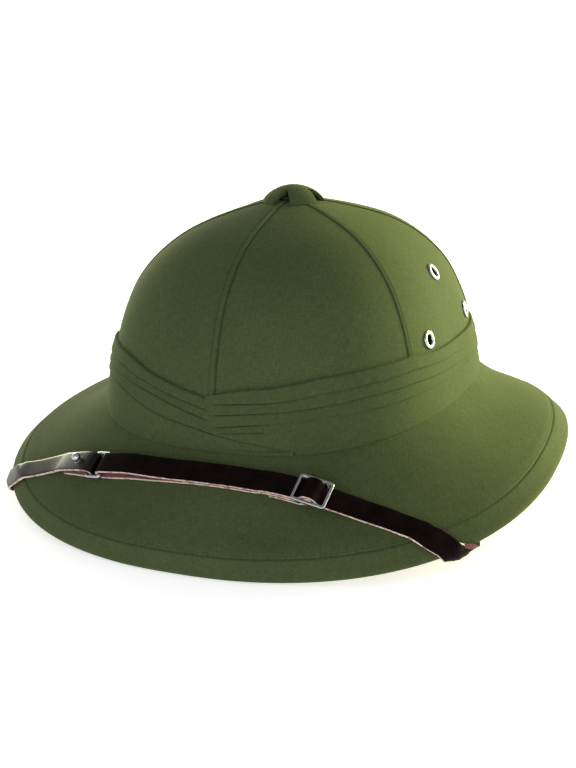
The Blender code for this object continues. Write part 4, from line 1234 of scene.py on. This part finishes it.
def over_pin(radius, level, side):
    turn = math.radians(PIN_SLOPE)
    high = (BUCKLE_CENTRE + side * radius * math.sin(turn), PIN_HEIGHT + radius * math.cos(turn))
    return [high, (high[0] + side * (high[1] - level) / math.tan(turn), level)]


def build_long_strap():
    loop_bar = LOOP_CENTRE + LOOP_HALF
    inner = PIN_RADIUS + 2 * GAP + STRAP_THICK / 2
    outer = inner + STRAP_THICK + GAP
    low, mid, high = layer_height(0), layer_height(1), layer_height(2)
    left, right = BUCKLE_CENTRE - BUCKLE_BAR_OFFSET, BUCKLE_CENTRE + BUCKLE_BAR_OFFSET
    tail = left - TAIL_LENGTH
    bow = LOOP_HEIGHT + FOLD_RADIUS + GAP
    start = route.lengths[-1] - 1 * MM
    path = hidden_path(route.length_at(RIM_AZIMUTH_LEFT), start)
    path += spaced(path[-1][0] - 8 * MM, right + 16 * MM, low, 12 * MM)
    path += [(right + 8 * MM, (low + high) / 2), (right + 2 * MM, high), (right - 1.5 * MM, high)]
    path += over_pin(outer, high, 1)[::-1]
    path += arc_path(BUCKLE_CENTRE, PIN_HEIGHT, outer, 90 - PIN_SLOPE, 90 + PIN_SLOPE, 4)[1:-1]
    path += over_pin(outer, high, -1)
    path += [(left, high), (tail - 2 * MM, high)]
    settle = tail - 8 * MM
    near, middle, far = (loop_bar + step for step in BOW_STEPS)
    path += [(settle, mid), (far, mid), (middle, (mid + bow) / 2), (near, bow)]
    path += arc_path(loop_bar + LOOP_PLAY / 2, LOOP_HEIGHT, FOLD_RADIUS, 90, 270, 6)
    path += [(loop_bar + 4 * MM, low)] + spaced(loop_bar + 14 * MM, settle, low, 14 * MM)
    path += [(tail - 2 * MM, mid), (left, mid)]
    path += over_pin(inner, mid, -1)[::-1]
    path += arc_path(BUCKLE_CENTRE, PIN_HEIGHT, inner, 90 + PIN_SLOPE, -90, 7)[1:]
    path += [(BUCKLE_CENTRE - 4.5 * MM, low), (left, low), (tail, low)]
    ribbon("strap_long", path, [SUEDE, RAW_EDGE, LEATHER])
    build_rivet("rivet_left", start, -1)


def closed_bar(name, line, section, place, nodes):
    """A bar of constant section round a closed flat line, mitred at its corners."""
    count = len(line)
    points = []
    for i in range(count):
        before, here, after = (np.array(line[(i + k) % count]) for k in (-1, 0, 1))
        a, b = unit(here - before), unit(after - here)
        out = np.array([a[1] + b[1], -a[0] - b[0]]) / (1 + float(a @ b))
        points += [place @ Vector((*(here + out * x), z)) for x, z in section]
    faces = [face for _, _, face in grid(count, len(section))]
    return make_piece(name, points, faces, None, [BRIGHT], None, nodes, 30)


def rounded_rectangle(half_x, half_y, corner, steps):
    points = []
    for quarter, (sx, sy) in enumerate(((1, 1), (-1, 1), (-1, -1), (1, -1))):
        for i in range(steps + 1):
            angle = math.pi / 2 * (quarter + i / steps)
            x = sx * (half_x - corner) + corner * math.cos(angle)
            points.append((x, sy * (half_y - corner) + corner * math.sin(angle)))
    return points


def build_loop():
    half_width = STRAP_WIDTH / 2 + LOOP_SIDE_ROOM + LOOP_WIRE / 2
    radius = LOOP_WIRE / 2
    section = [(radius * math.cos(a), radius * math.sin(a)) for a in np.linspace(0, 2 * math.pi, 17)[:-1]]
    line = rounded_rectangle(LOOP_HALF, half_width, LOOP_WIRE * 0.6, 6)
    closed_bar("metal_loop", line, section, route.place(LOOP_CENTRE, LOOP_HEIGHT), ["strap_loop"])


def build_buckle():
    """Flat frame whose bars have a bevelled, grooved top, and a plain pin across its middle."""
    half = BUCKLE_BAR / 2
    top = BUCKLE_THICK / 2
    side = [(0.75, -1), (1, -0.75), (1, 0.45), (0.72, 0.85), (0.30, 0.95), (0.12, 0.62)]
    section = [(half * x, top * z) for x, z in side[1:] + [(-x, z) for x, z in side[::-1]] + side[:1]]
    half_width = STRAP_WIDTH / 2 + GAP + half
    line = rounded_rectangle(BUCKLE_BAR_OFFSET, half_width, 0.9 * MM, 4)
    closed_bar("metal_buckle", line, section, route.place(BUCKLE_CENTRE, BUCKLE_HEIGHT), ["strap_buckle"])
    pin = [(0, half_width), (PIN_RADIUS, half_width), (PIN_RADIUS, -half_width), (0, -half_width)]
    across = route.place(BUCKLE_CENTRE, PIN_HEIGHT) @ Matrix.Rotation(math.pi / 2, 4, "X")
    turned("metal_buckle_pin", pin, 20, across, BRIGHT, ())


build_short_strap()
build_long_strap()
build_loop()
build_buckle()


def clothe(node, material):
    """New material on a node of the frame that keeps its own shape."""
    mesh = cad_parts[node].data
    mesh.materials.clear()
    mesh.materials.append(material)


# the seat is darkened cloth: painted shade in the gaps under the button's notches
clothe("button_seat", CLOTH_PAINTED_SHADE)


# Floor, light and camera

FLOOR_SIZE = 12.0
FLOOR_COLOUR = (0.93, 0.93, 0.93)
FLOOR_GLOW = 0.52


def build_floor():
    mesh = bpy.data.meshes.new("floor")
    half = FLOOR_SIZE / 2
    corners = [(-half, -half, 0), (half, -half, 0), (half, half, 0), (-half, half, 0)]
    mesh.from_pydata(corners, [], [(0, 1, 2, 3)])
    n = Nodes("floor")
    grain = n.noise(n.place, 60.0, 3.0)
    colour = n.ramp(grain, (0.3, tuple(0.985 * c for c in FLOOR_COLOUR)), (0.7, FLOOR_COLOUR))
    mesh.materials.append(n.finish(colour, 0.9, Emission_Color=(1, 1, 1), Emission_Strength=FLOOR_GLOW))
    floor = bpy.data.objects.new("floor", mesh)
    floor.location = (0, 0, cad_box[0][2])
    bpy.context.scene.collection.objects.link(floor)


# name, azimuth from the front towards the wearer's left, elevation, distance, width, power, colour
LIGHTS = [
    ("key", 142, 11, 1.4, 0.6, 46.0, (0.98, 0.97, 0.42)),
    ("left", -132, 12, 1.4, 0.6, 10.0, (1.0, 0.97, 0.60)),
    ("front", 8, 8, 1.6, 0.9, 8.0, (0.92, 0.94, 1.0)),
]
TARGET = Vector((0, -0.0243, 0.0735))


def direction_from(azimuth, elevation):
    a, e = math.radians(azimuth), math.radians(elevation)
    return Vector((math.sin(a) * math.cos(e), -math.cos(a) * math.cos(e), math.sin(e)))


# height share of the sky and its grey there
SKY = [(0.12, 1.0), (0.65, 0.40)]
SKY_STRENGTH = 1.02


def build_lights():
    for name, azimuth, elevation, distance, size, power, colour in LIGHTS:
        light = bpy.data.lights.new(name, "AREA")
        light.size = size
        light.energy = power
        light.color = colour
        lamp = bpy.data.objects.new(name, light)
        lamp.location = TARGET + direction_from(azimuth, elevation) * distance
        lamp.rotation_euler = (TARGET - lamp.location).to_track_quat("-Z", "Y").to_euler()
        lamp.visible_camera = False
        bpy.context.scene.collection.objects.link(lamp)
    world = bpy.data.worlds.new("studio")
    world.use_nodes = True
    nodes, links = world.node_tree.nodes, world.node_tree.links
    background = nodes["Background"]
    parts = nodes.new("ShaderNodeSeparateXYZ")
    links.new(nodes.new("ShaderNodeTexCoord").outputs["Generated"], parts.inputs[0])
    sky = nodes.new("ShaderNodeValToRGB")
    for element, (height, grey) in zip(sky.color_ramp.elements, SKY):
        element.position, element.color = height, (grey, grey, grey, 1)
    links.new(parts.outputs["Z"], sky.inputs[0])
    links.new(sky.outputs[0], background.inputs["Color"])
    background.inputs["Strength"].default_value = SKY_STRENGTH
    bpy.context.scene.world = world
    bpy.context.scene.view_settings.view_transform = "Standard"


CAMERA_AZIMUTH = 23.50
CAMERA_ELEVATION = 15.12
CAMERA_ROLL = math.radians(-1.59)
CAMERA_DISTANCE = 0.735
CAMERA_LENS = 64.35
CAMERA_SHIFT = (0.0023, -0.048)


def build_camera():
    back = direction_from(CAMERA_AZIMUTH, CAMERA_ELEVATION)
    a = math.radians(CAMERA_AZIMUTH)
    right = Vector((math.cos(a), math.sin(a), 0))
    up = back.cross(right)
    x = right * math.cos(CAMERA_ROLL) + up * math.sin(CAMERA_ROLL)
    y = up * math.cos(CAMERA_ROLL) - right * math.sin(CAMERA_ROLL)
    place = Matrix((x, y, back)).transposed().to_4x4()
    place.translation = TARGET + back * CAMERA_DISTANCE
    data = bpy.data.cameras.new("camera")
    data.lens = CAMERA_LENS
    data.sensor_fit = "AUTO"
    data.sensor_width = 36
    data.shift_x, data.shift_y = CAMERA_SHIFT
    data.clip_start = 0.01
    camera = bpy.data.objects.new("camera", data)
    camera.matrix_world = place
    bpy.context.scene.collection.objects.link(camera)
    bpy.context.scene.camera = camera


build_floor()
build_lights()
build_camera()
